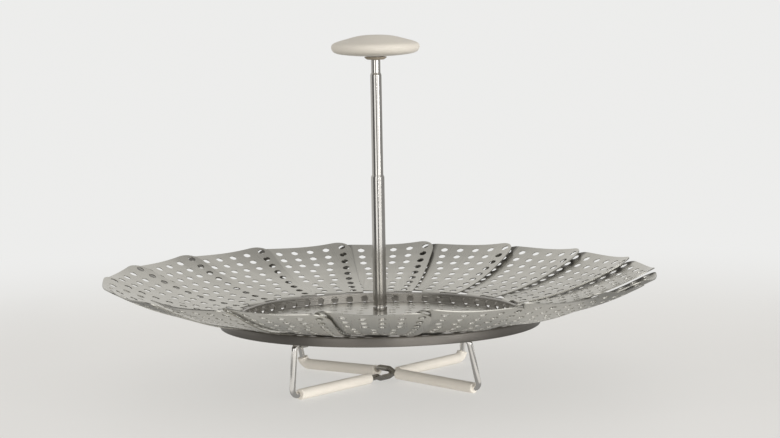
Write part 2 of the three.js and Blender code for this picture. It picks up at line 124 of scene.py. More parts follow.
def calc(tree, operation, *values):
    return step(tree, "ShaderNodeMath", dict(enumerate(values)), operation=operation).outputs[0]


print("node helpers ready")

# %% [markdown]
# ## What the finishes share
# Each finish is a noise drawn out along the way the piece was worked, which roughness and bump both
# read, and slow clouds in the colour. So the parts of such a tree are helpers: the place on the
# piece and its distance from the handle's axis, grain and clouds, a ramp between two ends, and a mix
# of two colours. The last helper connects them to the shader.

# %% Helpers for finishes
NOISE_ENDS = (0.3, 0.7)
GRAIN_DETAIL = 3.0
CLOUD_DETAIL = 2.0


def new_finish(name, metallic=0.0):
    material = bpy.data.materials.new(name)
    material.use_nodes = True
    tree = material.node_tree
    shader = tree.nodes["Principled BSDF"]
    shader.inputs["Metallic"].default_value = metallic
    return material, tree, shader


def own_place(tree):
    return step(tree, "ShaderNodeTexCoord").outputs["Object"]


def from_axis(tree, place):
    flat = step(tree, "ShaderNodeVectorMath", {0: place, 1: (1, 1, 0)}, operation="MULTIPLY").outputs[0]
    return step(tree, "ShaderNodeVectorMath", {0: flat}, operation="LENGTH").outputs["Value"]


def grain(tree, where, stretch, detail=GRAIN_DETAIL):
    placed = step(tree, "ShaderNodeMapping", {"Vector": where, "Scale": stretch}).outputs[0]
    noise = {"Vector": placed, "Scale": 1.0, "Detail": detail}
    return step(tree, "ShaderNodeTexNoise", noise).outputs[0]


def clouds(tree, where, stretch):
    return grain(tree, where, stretch, CLOUD_DETAIL)


def ramp(tree, value, start, end, first=0.0, last=1.0, **options):
    ends = {"Value": value, "From Min": start, "From Max": end, "To Min": first, "To Max": last}
    return step(tree, "ShaderNodeMapRange", ends, **options).outputs[0]


def mixed(tree, share, first, second):
    return step(tree, "ShaderNodeMix", {0: share, 6: first, 7: second}, data_type="RGBA").outputs[2]


def tone(tree, share, dark, light):
    return mixed(tree, share, (*dark, 1), (*light, 1))


def coat(tree, shader, colour, noise, roughness, depth):
    """Give a shader its colour, and its roughness and bump from one noise."""
    bump = step(tree, "ShaderNodeBump", {"Strength": 1.0, "Distance": depth, "Height": noise})
    rough = ramp(tree, noise, *NOISE_ENDS, *roughness)
    feeds = {"Base Color": colour, "Roughness": rough, "Normal": bump.outputs[0]}
    for socket, feed in feeds.items():
        tree.links.new(feed, shader.inputs[socket])


print("helpers for finishes ready")

# %% [markdown]
# ## Satin sheet for the petals
# The petals are thin stainless sheet with a satin roll finish: a soft sheen that blurs reflections
# along the sheet, a faint cloudiness, and fine grain that runs from the hinge to the rim. A plain
# grey metal would look like plastic, so roughness and bump both read a noise drawn out along the
# sheet. The grain follows each petal because it reads the place on the flat blank before pressing,
# which the petal's mesh carries as the attribute "blank". On the faces that the attribute "upper"
# marks, a dark strip of painted shade lies where the next petal covers this one, and fades out
# just past that petal's edge as a painted contact shadow.

# %% Satin sheet
UNSHADED_SHEET = ((0.46, 0.447, 0.405), (0.59, 0.577, 0.53))
# Painted shade: dark tones for the strip under the next petal and the contact shadow past its edge.
PAINTED_SHADE_SHEET = ((0.10, 0.094, 0.084), (0.16, 0.152, 0.137))
PAINTED_SHADE_STRIP = (math.radians(-7.6), math.radians(-8.6))
ROLL_LINES = (1500, 36, 1)
SHEET_CLOUDS = (42, 30, 1)


def satin_sheet():
    material, tree, shader = new_finish("satin_sheet", metallic=1.0)
    blank = step(tree, "ShaderNodeAttribute", attribute_name="blank").outputs["Vector"]
    upper = step(tree, "ShaderNodeAttribute", attribute_name="upper").outputs["Fac"]
    axes = step(tree, "ShaderNodeSeparateXYZ", {0: blank}).outputs
    turn = calc(tree, "ARCTAN2", axes["X"], axes["Y"])
    # Painted shade on the upper side only, between the angles of the strip.
    painted_shade = calc(tree, "MULTIPLY", ramp(tree, turn, *PAINTED_SHADE_STRIP), upper)
    cloudy = clouds(tree, blank, SHEET_CLOUDS)
    colour = mixed(tree, painted_shade, tone(tree, cloudy, *UNSHADED_SHEET), tone(tree, cloudy, *PAINTED_SHADE_SHEET))
    coat(tree, shader, colour, grain(tree, blank, ROLL_LINES), roughness=(0.25, 0.38), depth=0.003 * MM)
    return material


petal_finish = satin_sheet()
print("finish:", petal_finish.name)

# %% [markdown]
# ## Spun steel for the pan
# The pan is drawn and spun, so its fine lines run round the middle. Distance from the axis and
# height are enough to place them: noise on those two gives rings on the floor and level lines on
# the skirt, with one tree for the whole piece. Light and shade are painted into the colour: the
# floor is painted light, as light as the petals, the low wall is painted a little darker as shade,
# and the skirt outside is painted darker still as shade.

# %% Spun steel
# Painted light and shade: a lit tone for the floor and shaded tones for the low wall and the skirt.
LIT_PAN_FLOOR = ((0.54, 0.525, 0.485), (0.66, 0.645, 0.60))
SHADED_PAN_WALL = ((0.33, 0.315, 0.29), (0.42, 0.402, 0.372))
SHADED_PAN_SKIRT = ((0.148, 0.138, 0.124), (0.23, 0.215, 0.195))
FLOOR_TO_WALL = (69.2 * MM, 70.2 * MM)
SHELF_TO_SKIRT = (80.9 * MM, 81.2 * MM)
SPUN_LINES = (1900, 1900, 1)
PAN_CLOUDS = (40, 40, 40)


def spun_steel():
    material, tree, shader = new_finish("spun_steel", metallic=1.0)
    place = own_place(tree)
    radius = from_axis(tree, place)
    height = step(tree, "ShaderNodeSeparateXYZ", {0: place}).outputs["Z"]
    ringed = step(tree, "ShaderNodeCombineXYZ", {0: radius, 1: height}).outputs[0]
    cloudy = clouds(tree, place, PAN_CLOUDS)
    # Painted light on the floor, painted shade on the wall and the skirt.
    bowl, wall, skirt = [tone(tree, cloudy, *colours) for colours in (LIT_PAN_FLOOR, SHADED_PAN_WALL, SHADED_PAN_SKIRT)]
    inner = mixed(tree, ramp(tree, radius, *FLOOR_TO_WALL), bowl, wall)
    colour = mixed(tree, ramp(tree, radius, *SHELF_TO_SKIRT), inner, skirt)
    coat(tree, shader, colour, grain(tree, ringed, SPUN_LINES), roughness=(0.26, 0.44), depth=0.003 * MM)
    return material


pan_finish = spun_steel()
print("finish:", pan_finish.name)

# %% [markdown]
# ## Polished tube and wire
# The handle's tubes are drawn and polished, so they mirror the room in upright bands, only slightly
# broken up by draw lines along the tube. The leg wire is bright too, but a bit softer and uneven,
# and painted dark in the middle, as shade where the two legs cross. One function makes both, from
# the stretch of the grain and the range of roughness.

# %% Polished steel
POLISH_CLOUDS = (60, 60, 60)
# Painted shade: the dark wire colour at the crossing, and the distances from the axis over which it gives
# way.
PAINTED_KNOT_SHADE = (0.40, 0.375, 0.335, 1)
KNOT_SHADE_TO_BRIGHT = (9 * MM, 14 * MM)
POLISHED_TUBE = {
    "colours": ((0.60, 0.58, 0.55), (0.68, 0.66, 0.63)),
    "stretch": (2600, 2600, 30),
    "roughness": (0.09, 0.14),
    "depth": 0.0003 * MM,
    "knot_shade": False,
}
BRIGHT_WIRE = {
    "colours": ((0.84, 0.82, 0.79), (0.92, 0.90, 0.87)),
    "stretch": (700, 700, 700),
    "roughness": (0.10, 0.17),
    "depth": 0.002 * MM,
    "knot_shade": True,
}


def polished_steel(name, colours, stretch, roughness, depth, knot_shade):
    material, tree, shader = new_finish(name, metallic=1.0)
    place = own_place(tree)
    colour = tone(tree, clouds(tree, place, POLISH_CLOUDS), *colours)
    # Painted shade round the crossing of the legs, near the handle's axis.
    if knot_shade:
        bright = ramp(tree, from_axis(tree, place), *KNOT_SHADE_TO_BRIGHT)
        colour = mixed(tree, bright, PAINTED_KNOT_SHADE, colour)
    coat(tree, shader, colour, grain(tree, place, stretch), roughness, depth)
    return material


tube_finish = polished_steel("polished_tube", **POLISHED_TUBE)
wire_finish = polished_steel("bright_wire", **BRIGHT_WIRE)
print("finishes:", tube_finish.name, wire_finish.name)

# %% [markdown]
# ## Knob plastic and sleeve rubber
# The knob is matte moulded plastic in a warm taupe cream, with the very fine texture of a blasted
# mould. Its boss is the same plastic painted a dark taupe, as shade under the knob. The sleeves are
# soft rubber, a paler cream with a duller, slightly patchy skin. All come from one function: a fine
# grain of pores, so many to the metre, for roughness and bump, and a slow cloud for the colour.

# %% Soft finishes
MOULD_CLOUDS = (70, 70, 70)
KNOB_COLOURS = ((0.60, 0.555, 0.485), (0.65, 0.605, 0.53))
SLEEVE_COLOURS = ((0.76, 0.71, 0.63), (0.82, 0.77, 0.69))
# Painted shade: the boss is the knob's plastic darkened as if in the knob's shadow.
SHADED_BOSS_COLOURS = ((0.27, 0.225, 0.17), (0.33, 0.28, 0.215))


def moulded(name, colours, roughness, pores, depth):
    material, tree, shader = new_finish(name)
    shader.inputs["Specular IOR Level"].default_value = 0.4
    place = own_place(tree)
    colour = tone(tree, clouds(tree, place, MOULD_CLOUDS), *colours)
    coat(tree, shader, colour, grain(tree, place, (pores, pores, pores)), roughness, depth)
    return material


knob_finish = moulded("matte_knob", KNOB_COLOURS, roughness=(0.46, 0.58), pores=2600, depth=0.012 * MM)
sleeve_finish = moulded("soft_sleeve", SLEEVE_COLOURS, roughness=(0.44, 0.60), pores=1500, depth=0.015 * MM)
shaded_boss_finish = moulded("matte_boss", SHADED_BOSS_COLOURS, roughness=(0.42, 0.54), pores=2600, depth=0.012 * MM)
print("finishes:", knob_finish.name, sleeve_finish.name, shaded_boss_finish.name)

# %% [markdown]
# ## From a tree to a plain mesh
# A Geometry Nodes tree runs as a modifier. Its inputs are set before the object is evaluated, the
# evaluated shape is copied into a plain mesh, and the carrier with its modifiers is thrown away.
# A bevel may follow the tree, for pieces whose cut ends are broken by a small round. Edges that
# turn by more than an angle stay sharp, which is a bit larger for bent sheet and wire.

# %% Run a tree
NUMBER = "NodeSocketFloat"
COUNT = "NodeSocketInt"
OBJECT = "NodeSocketObject"
FINISH = "NodeSocketMaterial"
SHARP_CUT = math.radians(35)
SHARP_BEND = math.radians(40)


def new_tree(name, sizes):
    tree = bpy.data.node_groups.new(name, "GeometryNodeTree")
    kinds = {"Geometry": "NodeSocketGeometry", **sizes}
    for label, kind in kinds.items():
        tree.interface.new_socket(label, in_out="INPUT", socket_type=kind)
    tree.interface.new_socket("Geometry", in_out="OUTPUT", socket_type="NodeSocketGeometry")
    return tree, tree.nodes.new("NodeGroupInput").outputs


def end_tree(tree, shape, finish, sharp_from):
    """Smooth the faces, keep edges sharper than an angle, realize, and set the material."""
    smooth = step(tree, "GeometryNodeSetShadeSmooth", {"Geometry": shape, "Shade Smooth": True})
    bend = step(tree, "GeometryNodeInputMeshEdgeAngle").outputs["Unsigned Angle"]
    sharp = step(tree, "FunctionNodeCompare", {0: bend, 1: sharp_from}, operation="GREATER_THAN")
    crisp_feeds = {"Geometry": smooth.outputs[0], "Selection": sharp.outputs[0], "Shade Smooth": False}
    crisp = step(tree, "GeometryNodeSetShadeSmooth", crisp_feeds, domain="EDGE")
    real = step(tree, "GeometryNodeRealizeInstances", {"Geometry": crisp.outputs[0]})
    coated = step(tree, "GeometryNodeSetMaterial", {"Geometry": real.outputs[0], "Material": finish})
    step(tree, "NodeGroupOutput", {"Geometry": coated.outputs[0]})


def grown(name, base, tree, values, bevel=0.0):
    carrier = linked(name + "_carrier", base)
    nodes = carrier.modifiers.new("grow", "NODES")
    nodes.node_group = tree
    for item in tree.interface.items_tree:
        if item.in_out == "INPUT" and item.name in values:
            nodes[item.identifier] = values[item.name]
    if bevel:
        edge = carrier.modifiers.new("edge", "BEVEL")
        edge.width = bevel
        edge.segments = 3
        edge.angle_limit = math.radians(60)
    depsgraph = bpy.context.evaluated_depsgraph_get()
    shape = carrier.evaluated_get(depsgraph)
    mesh = bpy.data.meshes.new_from_object(shape, preserve_all_data_layers=True, depsgraph=depsgraph)
    mesh.name = name
    bpy.data.objects.remove(carrier)
    return mesh


print("tree runner ready")


# %% From a mesh to a piece
def settle(name, work, sharp_from=SHARP_CUT):
    """Turn a bmesh into a mesh with outward faces, smooth but for its sharp edges."""
    bmesh.ops.recalc_face_normals(work, faces=work.faces)
    mesh = bpy.data.meshes.new(name)
    work.to_mesh(mesh)
    work.free()
    mesh.shade_smooth()
    mesh.set_sharp_from_angle(angle=sharp_from)
    return mesh


def fit(mesh, finish, body, node):
    """Make a mesh the piece that stands for a solid and moves with its body."""
    piece = linked(mesh.name, mesh)
    mesh.materials.clear()
    mesh.materials.append(finish)
    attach(piece, body)
    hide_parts(node)
    return piece


print("helpers for pieces ready")

# %% [markdown]
# ## The petal's blank
# Each petal starts as a flat blank: a sector with rounded outer corners, a short tongue for the
# hinge and nine rows of holes. The hinge line is turned a little, so one corner of the petal rises
# more than the other and slips over its neighbour. The outline is drawn as a loop of edges with true
# arcs, and the hole centres are loose points in the same mesh, which the tree tells apart.

# %% Petal sizes
PETAL_COUNT = 18
FIRST_PETAL = math.radians(8.5)
PETAL_PITCH = 2 * math.pi / PETAL_COUNT
PETAL_HALF_ANGLE = PETAL_PITCH / 2 + math.radians(1.75)
RIM_RADIUS = 140 * MM
CORNER_RADIUS = 9 * MM
CORNER_PLACE = RIM_RADIUS - CORNER_RADIUS
CORNER_LEAN = math.asin(CORNER_RADIUS / CORNER_PLACE)
HINGE_RADIUS = 76 * MM
HINGE_HEIGHT = 34.65 * MM
HINGE_YAW = math.radians(14)
FOOT_OFFSET = 0.8 * MM
TONGUE_HALF = 5.7 * MM
TONGUE_END = 0.1 * MM
SHEET = 0.5 * MM
KNUCKLE_MIDDLE = 1.29 * MM
HOLE_RADIUS = 1.9 * MM
HOLE_ROWS = 9
HOLE_MARGIN = 5 * MM
LAST_ROW = 5.2 * MM
RIM_COLUMNS = 6
ROWS_PER_COLUMN_COUNT = 3
print("petals overlap by %.1f degrees" % math.degrees(2 * PETAL_HALF_ANGLE - PETAL_PITCH))

# %% Petal outline
SIDE_STEPS = 18
CORNER_STEPS = 8
RIM_STEPS = 24


def polar(radius, angle):
    return Vector((radius * math.sin(angle), radius * math.cos(angle), 0))


def hinge_point(along, off):
    across = Vector((math.cos(HINGE_YAW), -math.sin(HINGE_YAW), 0))
    outward = Vector((math.sin(HINGE_YAW), math.cos(HINGE_YAW), 0))
    return Vector((0, HINGE_RADIUS, 0)) + across * along + outward * off


def foot_corner(angle):
    direction = polar(1, angle)
    outward = hinge_point(0, 1) - hinge_point(0, 0)
    return direction * (FOOT_OFFSET + HINGE_RADIUS * outward.y) / direction.dot(outward)


def petal_side(side):
    middle = polar(CORNER_PLACE, side * (PETAL_HALF_ANGLE - CORNER_LEAN))
    foot = foot_corner(side * PETAL_HALF_ANGLE)
    top = polar(CORNER_PLACE * math.cos(CORNER_LEAN), side * PETAL_HALF_ANGLE)
    line = [foot.lerp(top, i / SIDE_STEPS) for i in range(SIDE_STEPS)]
    for i in range(CORNER_STEPS + 1):
        angle = PETAL_HALF_ANGLE + math.pi / 2 - (math.pi / 2 + CORNER_LEAN) * i / CORNER_STEPS
        line.append(middle + polar(CORNER_RADIUS, side * angle))
    return line


def petal_outline():
    turn = PETAL_HALF_ANGLE - CORNER_LEAN
    rim = [polar(RIM_RADIUS, turn * (2 * i / RIM_STEPS - 1)) for i in range(1, RIM_STEPS)]
    tongue = [(1, FOOT_OFFSET), (1, TONGUE_END), (-1, TONGUE_END), (-1, FOOT_OFFSET)]
    hinge = [hinge_point(side * TONGUE_HALF, off) for side, off in tongue]
    return petal_side(-1) + rim + petal_side(1)[::-1] + hinge


outline = petal_outline()
print("petal outline:", len(outline), "points")

# %% Petal holes
ROW_PASSES = 3


def hole_row(row):
    """One row of holes: the first follows the rim, the last the hinge, and the rest pass over.

    A hole's angle depends on its radius and the other way round, so a few passes find both.
    """
    share = row / (HOLE_ROWS - 1)
    columns = RIM_COLUMNS - row // ROWS_PER_COLUMN_COUNT
    spots = []
    for k in range(columns):
        side = 2 * k / (columns - 1) - 1
        radius = RIM_RADIUS - HOLE_MARGIN
        for turn in range(ROW_PASSES):
            angle = side * (PETAL_HALF_ANGLE - HOLE_MARGIN / radius)
            level = (HINGE_RADIUS * math.cos(HINGE_YAW) + LAST_ROW) / math.cos(angle - HINGE_YAW)
            radius = (1 - share) * (RIM_RADIUS - HOLE_MARGIN) + share * level
        spots.append(polar(radius, angle))
    return spots


holes = [hole for row in range(HOLE_ROWS) for hole in hole_row(row)]
edges = [(i, (i + 1) % len(outline)) for i in range(len(outline))]
blank = bpy.data.meshes.new("petal_blank")
blank.from_pydata(outline + holes, edges, [])
print("petal holes:", len(holes))

# %% [markdown]
# ## Punching and pressing the petal
# Cutting round holes from a solid with booleans would leave long slivers. Instead the tree works as
# the press shop does: it sets a circle on each loose point, fills the outline with the circles left
# open, and only then bends the flat sheet to its dish. The rule of the dish is a slope that grows
# towards the rim, side edges cupped upwards, and a slight twist that takes back most of the tilt of
# the turned hinge. The sheet gets its thickness last.

# %% Rule of the dish
def pressed_height(tree, given):
    place = step(tree, "GeometryNodeInputPosition").outputs[0]
    axes = step(tree, "ShaderNodeSeparateXYZ", {0: place}).outputs
    outward = (math.sin(HINGE_YAW), math.cos(HINGE_YAW), 0)
    reach = step(tree, "ShaderNodeVectorMath", {0: place, 1: outward}, operation="DOT_PRODUCT")
    off = calc(tree, "SUBTRACT", reach.outputs["Value"], HINGE_RADIUS * math.cos(HINGE_YAW))
    share = calc(tree, "DIVIDE", off, RIM_RADIUS - HINGE_RADIUS)
    slope = calc(tree, "MULTIPLY_ADD", share, given["Slope Gain"], given["Slope at Hinge"])
    turn = calc(tree, "DIVIDE", calc(tree, "ARCTAN2", axes["X"], axes["Y"]), PETAL_HALF_ANGLE)
    lean = calc(tree, "MULTIPLY_ADD", turn, given["Cup"], calc(tree, "MULTIPLY", given["Twist"], -1))
    outer = step(tree, "ShaderNodeClamp", {0: share}).outputs[0]
    bent = calc(tree, "MULTIPLY", calc(tree, "MULTIPLY", lean, turn), calc(tree, "POWER", outer, 2))
    height = calc(tree, "MULTIPLY_ADD", off, slope, bent)
    return calc(tree, "ADD", height, HINGE_HEIGHT + KNUCKLE_MIDDLE), place


print("dish starts %.2f mm above the table" % ((HINGE_HEIGHT + KNUCKLE_MIDDLE) / MM))


# %% Punched sheet and its thickness
SEAM = 0.01 * MM


def punched_sheet(tree, given):
    joined = step(tree, "GeometryNodeInputMeshVertexNeighbors").outputs["Vertex Count"]
    loose = step(tree, "FunctionNodeCompare", {2: joined, 3: 0}, data_type="INT", operation="EQUAL")
    rim = step(tree, "GeometryNodeMeshToCurve", {"Mesh": given["Geometry"]})
    hole_sizes = {"Resolution": given["Hole Sides"], "Radius": given["Hole Radius"]}
    hole = step(tree, "GeometryNodeCurvePrimitiveCircle", hole_sizes).outputs["Curve"]
    spots = {"Points": given["Geometry"], "Selection": loose.outputs[0], "Instance": hole}
    holes = step(tree, "GeometryNodeInstanceOnPoints", spots)
    cuts = step(tree, "GeometryNodeRealizeInstances", {"Geometry": holes.outputs[0]})
    lines = step(tree, "GeometryNodeJoinGeometry", {"Geometry": rim.outputs[0]})
    tree.links.new(cuts.outputs[0], lines.inputs[0])
    return step(tree, "GeometryNodeFillCurve", {"Curve": lines.outputs[0]}, mode="TRIANGLES").outputs[0]


def thickened(tree, sheet, thickness):
    """Give a sheet half its thickness to each side, and mark the faces of its upper side."""
    normal = step(tree, "GeometryNodeInputNormal").outputs[0]
    half = calc(tree, "MULTIPLY", thickness, -0.5)
    down = step(tree, "ShaderNodeVectorMath", {0: normal, "Scale": half}, operation="SCALE").outputs[0]
    under = step(tree, "GeometryNodeSetPosition", {"Geometry": sheet, "Offset": down}).outputs[0]
    rise = {"Mesh": under, "Offset Scale": thickness, "Individual": False}
    upper = step(tree, "GeometryNodeExtrudeMesh", rise).outputs
    mark = {"Geometry": upper["Mesh"], "Name": "upper", "Value": upper["Top"]}
    topped = step(tree, "GeometryNodeStoreNamedAttribute", mark, data_type="FLOAT", domain="FACE")
    lower = step(tree, "GeometryNodeFlipFaces", {"Mesh": under})
    both = step(tree, "GeometryNodeJoinGeometry", {"Geometry": topped.outputs[0]})
    tree.links.new(lower.outputs[0], both.inputs[0])
    closed = {"Geometry": both.outputs[0], "Distance": SEAM}
    return step(tree, "GeometryNodeMergeByDistance", closed).outputs[0]


print("sheet %.1f mm thick" % (SHEET / MM))


# %% Petal tree
def petal_tree():
    numbers = ("Hole Radius", "Thickness", "Slope at Hinge", "Slope Gain", "Cup", "Twist")
    sizes = {**dict.fromkeys(numbers, NUMBER), "Hole Sides": COUNT, "Finish": FINISH}
    tree, given = new_tree("pressed_petal", sizes)
    flat = punched_sheet(tree, given)
    height, place = pressed_height(tree, given)
    mark = {"Geometry": flat, "Name": "blank", "Value": place}
    marked = step(tree, "GeometryNodeStoreNamedAttribute", mark, data_type="FLOAT_VECTOR")
    lift = step(tree, "ShaderNodeCombineXYZ", {2: height}).outputs[0]
    pressed = step(tree, "GeometryNodeSetPosition", {"Geometry": marked.outputs[0], "Offset": lift})
    closed = thickened(tree, pressed.outputs[0], given["Thickness"])
    end_tree(tree, closed, given["Finish"], SHARP_BEND)
    return tree


pressing = petal_tree()
print("petal tree:", len(pressing.nodes), "nodes")

# %% Press a petal
petal_values = {
    "Hole Radius": HOLE_RADIUS,
    "Hole Sides": 18,
    "Thickness": SHEET,
    "Slope at Hinge": 0.075,
    "Slope Gain": 0.22,
    "Cup": 4.5 * MM,
    "Twist": 3.2 * MM,
    "Finish": petal_finish,
}
petal_sheet = grown("petal_sheet", blank, pressing, petal_values)
print("petal sheet:", len(petal_sheet.vertices), "points")

# %% [markdown]
# ## The rolled knuckle
# The tongue is rolled round a bar of the pan's shelf to make the hinge. It is a bent strip: two
# curves side by side, the inner and the outer face, joined into quads and given a width. The same
# helper bends the straps that carry the legs.

# %% Bent strips
def bent_strip(name, inner, outer, place, half_width):
    work = bmesh.new()
    ends = []
    for side in (-half_width, half_width):
        ends.append([[work.verts.new(place(u, v, side)) for u, v in face] for face in (inner, outer)])
    for k in range(len(inner) - 1):
        for face in (0, 1):
            near, far = ends[0][face], ends[1][face]
            work.faces.new((near[k], near[k + 1], far[k + 1], far[k]))
        for inside, outside in ends:
            work.faces.new((inside[k], inside[k + 1], outside[k + 1], outside[k]))
    for k in (0, -1):
        work.faces.new((ends[0][0][k], ends[0][1][k], ends[1][1][k], ends[1][0][k]))
    return settle(name, work)


def arc(radius, start, sweep, steps):
    angles = [start + sweep * i / steps for i in range(steps + 1)]
    return [(radius * math.cos(a), radius * math.sin(a)) for a in angles]


print("helper for bent strips ready")

# %% Knuckle
KNUCKLE_WRAP = math.radians(240)
KNUCKLE_STEPS = 14
KNUCKLE_LEAD = 0.5 * MM


def rolled_face(radius):
    return [(KNUCKLE_LEAD, radius), *arc(radius, math.pi / 2, KNUCKLE_WRAP, KNUCKLE_STEPS)]


def on_hinge(u, v, w):
    return hinge_point(w, u) + Vector((0, 0, HINGE_HEIGHT + v))


inside = rolled_face(KNUCKLE_MIDDLE - SHEET / 2)
outside = rolled_face(KNUCKLE_MIDDLE + SHEET / 2)
knuckle = bent_strip("petal_knuckle", inside, outside, on_hinge, TONGUE_HALF)
print("knuckle:", len(knuckle.polygons), "faces")

# %% [markdown]
# ## A ring of petals
# All petals come from one press, so one mesh is copied for each hinge and turned in its mesh, not
# by its object, so that the object stays at the origin. The number of the petal goes into the third
# part of "blank", which gives every petal its own grain.

# %% Place the petals
def petal_turn(number):
    return FIRST_PETAL + PETAL_PITCH * (number - 1) - math.pi / 2


def one_petal(number):
    work = bmesh.new()
    work.from_mesh(petal_sheet)
    layer = work.verts.layers.float_vector["blank"]
    for corner in work.verts:
        corner[layer].z = number
    work.from_mesh(knuckle)
    mesh = bpy.data.meshes.new("pressed_petal_%02d" % number)
    work.to_mesh(mesh)
    work.free()
    mesh.transform(Matrix.Rotation(petal_turn(number), 4, "Z"))
    node = "petal_%02d" % number
    return fit(mesh, petal_finish, node, node)


petals = [one_petal(number + 1) for number in range(PETAL_COUNT)]
print("petals:", len(petals), "of", len(petals[0].data.polygons), "faces")

# %% [markdown]
# ## Turned pieces
# The pan, the tubes and the knob are all round about the handle. Each is an outline of radius and
# height, whose corners carry the radius of their round, spun about the axis. Spinning it in code
# instead of with a Screw modifier keeps the poles and the seam closed.

# %% Spin an outline
ON_AXIS = 1e-7


def rounded(corners, steps=5):
    line = []
    for i, (x, y, radius) in enumerate(corners):
        here = Vector((x, y))
        before = (Vector(corners[i - 1][:2]) - here).normalized()
        after = (Vector(corners[(i + 1) % len(corners)][:2]) - here).normalized()
        if radius == 0:
            line.append(here)
            continue
        half = before.angle(after) / 2
        middle = here + (before + after).normalized() * radius / math.sin(half)
        first = here + before * radius / math.tan(half) - middle
        last = here + after * radius / math.tan(half) - middle
        line += [middle + first.slerp(last, k / steps) * radius for k in range(steps + 1)]
    return line


def on_circle(radius, angle, height):
    return Vector((radius * math.cos(angle), radius * math.sin(angle), height))


def turned(name, outline, sides, start=0.0, sharp_from=SHARP_CUT):
    work = bmesh.new()
    angles = [start + 2 * math.pi * k / sides for k in range(sides)]
    rings = []
    for radius, height in outline:
        if radius < ON_AXIS:
            rings.append([work.verts.new((0, 0, height))] * sides)
        else:
            rings.append([work.verts.new(on_circle(radius, angle, height)) for angle in angles])
    for i, ring in enumerate(rings):
        for k in range(sides):
            j = (k + 1) % sides
            corners = list(dict.fromkeys((rings[i - 1][k], rings[i - 1][j], ring[j], ring[k])))
            if len(corners) > 2:
                work.faces.new(corners)
    return settle(name, work, sharp_from)


print("lathe ready")

# %% [markdown]
# ## The pan
# The pan's floor steps up through a low wall to a shelf, where the petals hinge, and down again in
# a skirt. A folded bead along the top of the wall stiffens it. The outline follows both faces of the
# sheet, with small bends at each step.

# %% Pan blank
pan_low, pan_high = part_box("base_pan")
SKIRT_RADIUS = pan_high.y
SKIRT_BOTTOM = pan_low.z
SKIRT_EDGE = 0.3 * MM
SHELF_TOP = pan_high.z
WALL_RADIUS = 70.4 * MM
FLOOR_TOP = SKIRT_BOTTOM + 1 * MM
PAN_SHEET = 0.7 * MM
PAN_BEND = 1.1 * MM
BEAD_WIDTH = 1.4 * MM
BEAD_HEIGHT = 1.2 * MM
BEAD_ROUND = 0.65 * MM
BEAD_ROOT = 0.2 * MM
POST_BORE = 2.3 * MM
PAN_SIDES = 216


def pan_outline():
    inside = PAN_BEND - PAN_SHEET
    wall_back = WALL_RADIUS + PAN_SHEET
    shelf_under = SHELF_TOP - PAN_SHEET
    skirt_back = SKIRT_RADIUS - PAN_SHEET
    bead_back = WALL_RADIUS + BEAD_WIDTH
    corners = [
        (POST_BORE, FLOOR_TOP, 0),
        (POST_BORE, FLOOR_TOP - PAN_SHEET, 0),
        (wall_back, FLOOR_TOP - PAN_SHEET, PAN_BEND),
        (wall_back, shelf_under, inside),
        (skirt_back, shelf_under, inside),
        (skirt_back, SKIRT_BOTTOM, SKIRT_EDGE),
        (SKIRT_RADIUS, SKIRT_BOTTOM, SKIRT_EDGE),
        (SKIRT_RADIUS, SHELF_TOP, PAN_BEND),
        (bead_back, SHELF_TOP, BEAD_ROOT),
        (bead_back, SHELF_TOP + BEAD_HEIGHT, BEAD_ROUND),
        (WALL_RADIUS, SHELF_TOP + BEAD_HEIGHT, BEAD_ROUND),
        (WALL_RADIUS, FLOOR_TOP, inside),
    ]
    return rounded(corners)


pan_blank = turned("pan_blank", pan_outline(), PAN_SIDES)
print("pan blank: %.1f mm across" % (2 * SKIRT_RADIUS / MM))

# %% [markdown]
# ## Punching the pan
# The floor has rings of steam holes, the wall a row of small holes, and the shelf two slots for each
# petal, which leave the bar that its knuckle turns on. A tree sets a punch on every place, turned by
# the place's own angles, and cuts them all from the sheet at once. It runs twice, once with a slot
# punch and once with a round punch.

# %% Punch tree
def punch_tree():
    tree, given = new_tree("punched_pan", {"Places": OBJECT, "Punch": OBJECT, "Finish": FINISH})
    places = step(tree, "GeometryNodeObjectInfo", {"Object": given["Places"]}).outputs["Geometry"]
    punch = step(tree, "GeometryNodeObjectInfo", {"Object": given["Punch"]}).outputs["Geometry"]
    angles = step(tree, "GeometryNodeInputNamedAttribute", {"Name": "turn"}, data_type="FLOAT_VECTOR")
    turn = step(tree, "FunctionNodeEulerToRotation", {"Euler": angles.outputs[0]}).outputs[0]
    spots = {"Points": places, "Instance": punch, "Rotation": turn}
    punches = step(tree, "GeometryNodeInstanceOnPoints", spots)
    solid = step(tree, "GeometryNodeRealizeInstances", {"Geometry": punches.outputs[0]})
    sheet = {"Mesh 1": given["Geometry"], "Mesh 2": solid.outputs[0]}
    cut = step(tree, "GeometryNodeMeshBoolean", sheet, operation="DIFFERENCE", solver="MANIFOLD")
    end_tree(tree, cut.outputs[0], given["Finish"], SHARP_CUT)
    return tree


pan_punching = punch_tree()
print("punch tree:", len(pan_punching.nodes), "nodes")

# %% Where the pan is punched
FLOOR_HOLE_RINGS = 7
FLOOR_HOLE_PITCH = 8.6 * MM
FLOOR_EDGE = 4.6 * MM
WALL_HOLES = 3 * PETAL_COUNT
WALL_HOLE_HEIGHT = 33 * MM
BAR_WIDTH = 1.4 * MM
SLOT_WIDTH = 1.3 * MM
SLOT_LENGTH = 13.2 * MM


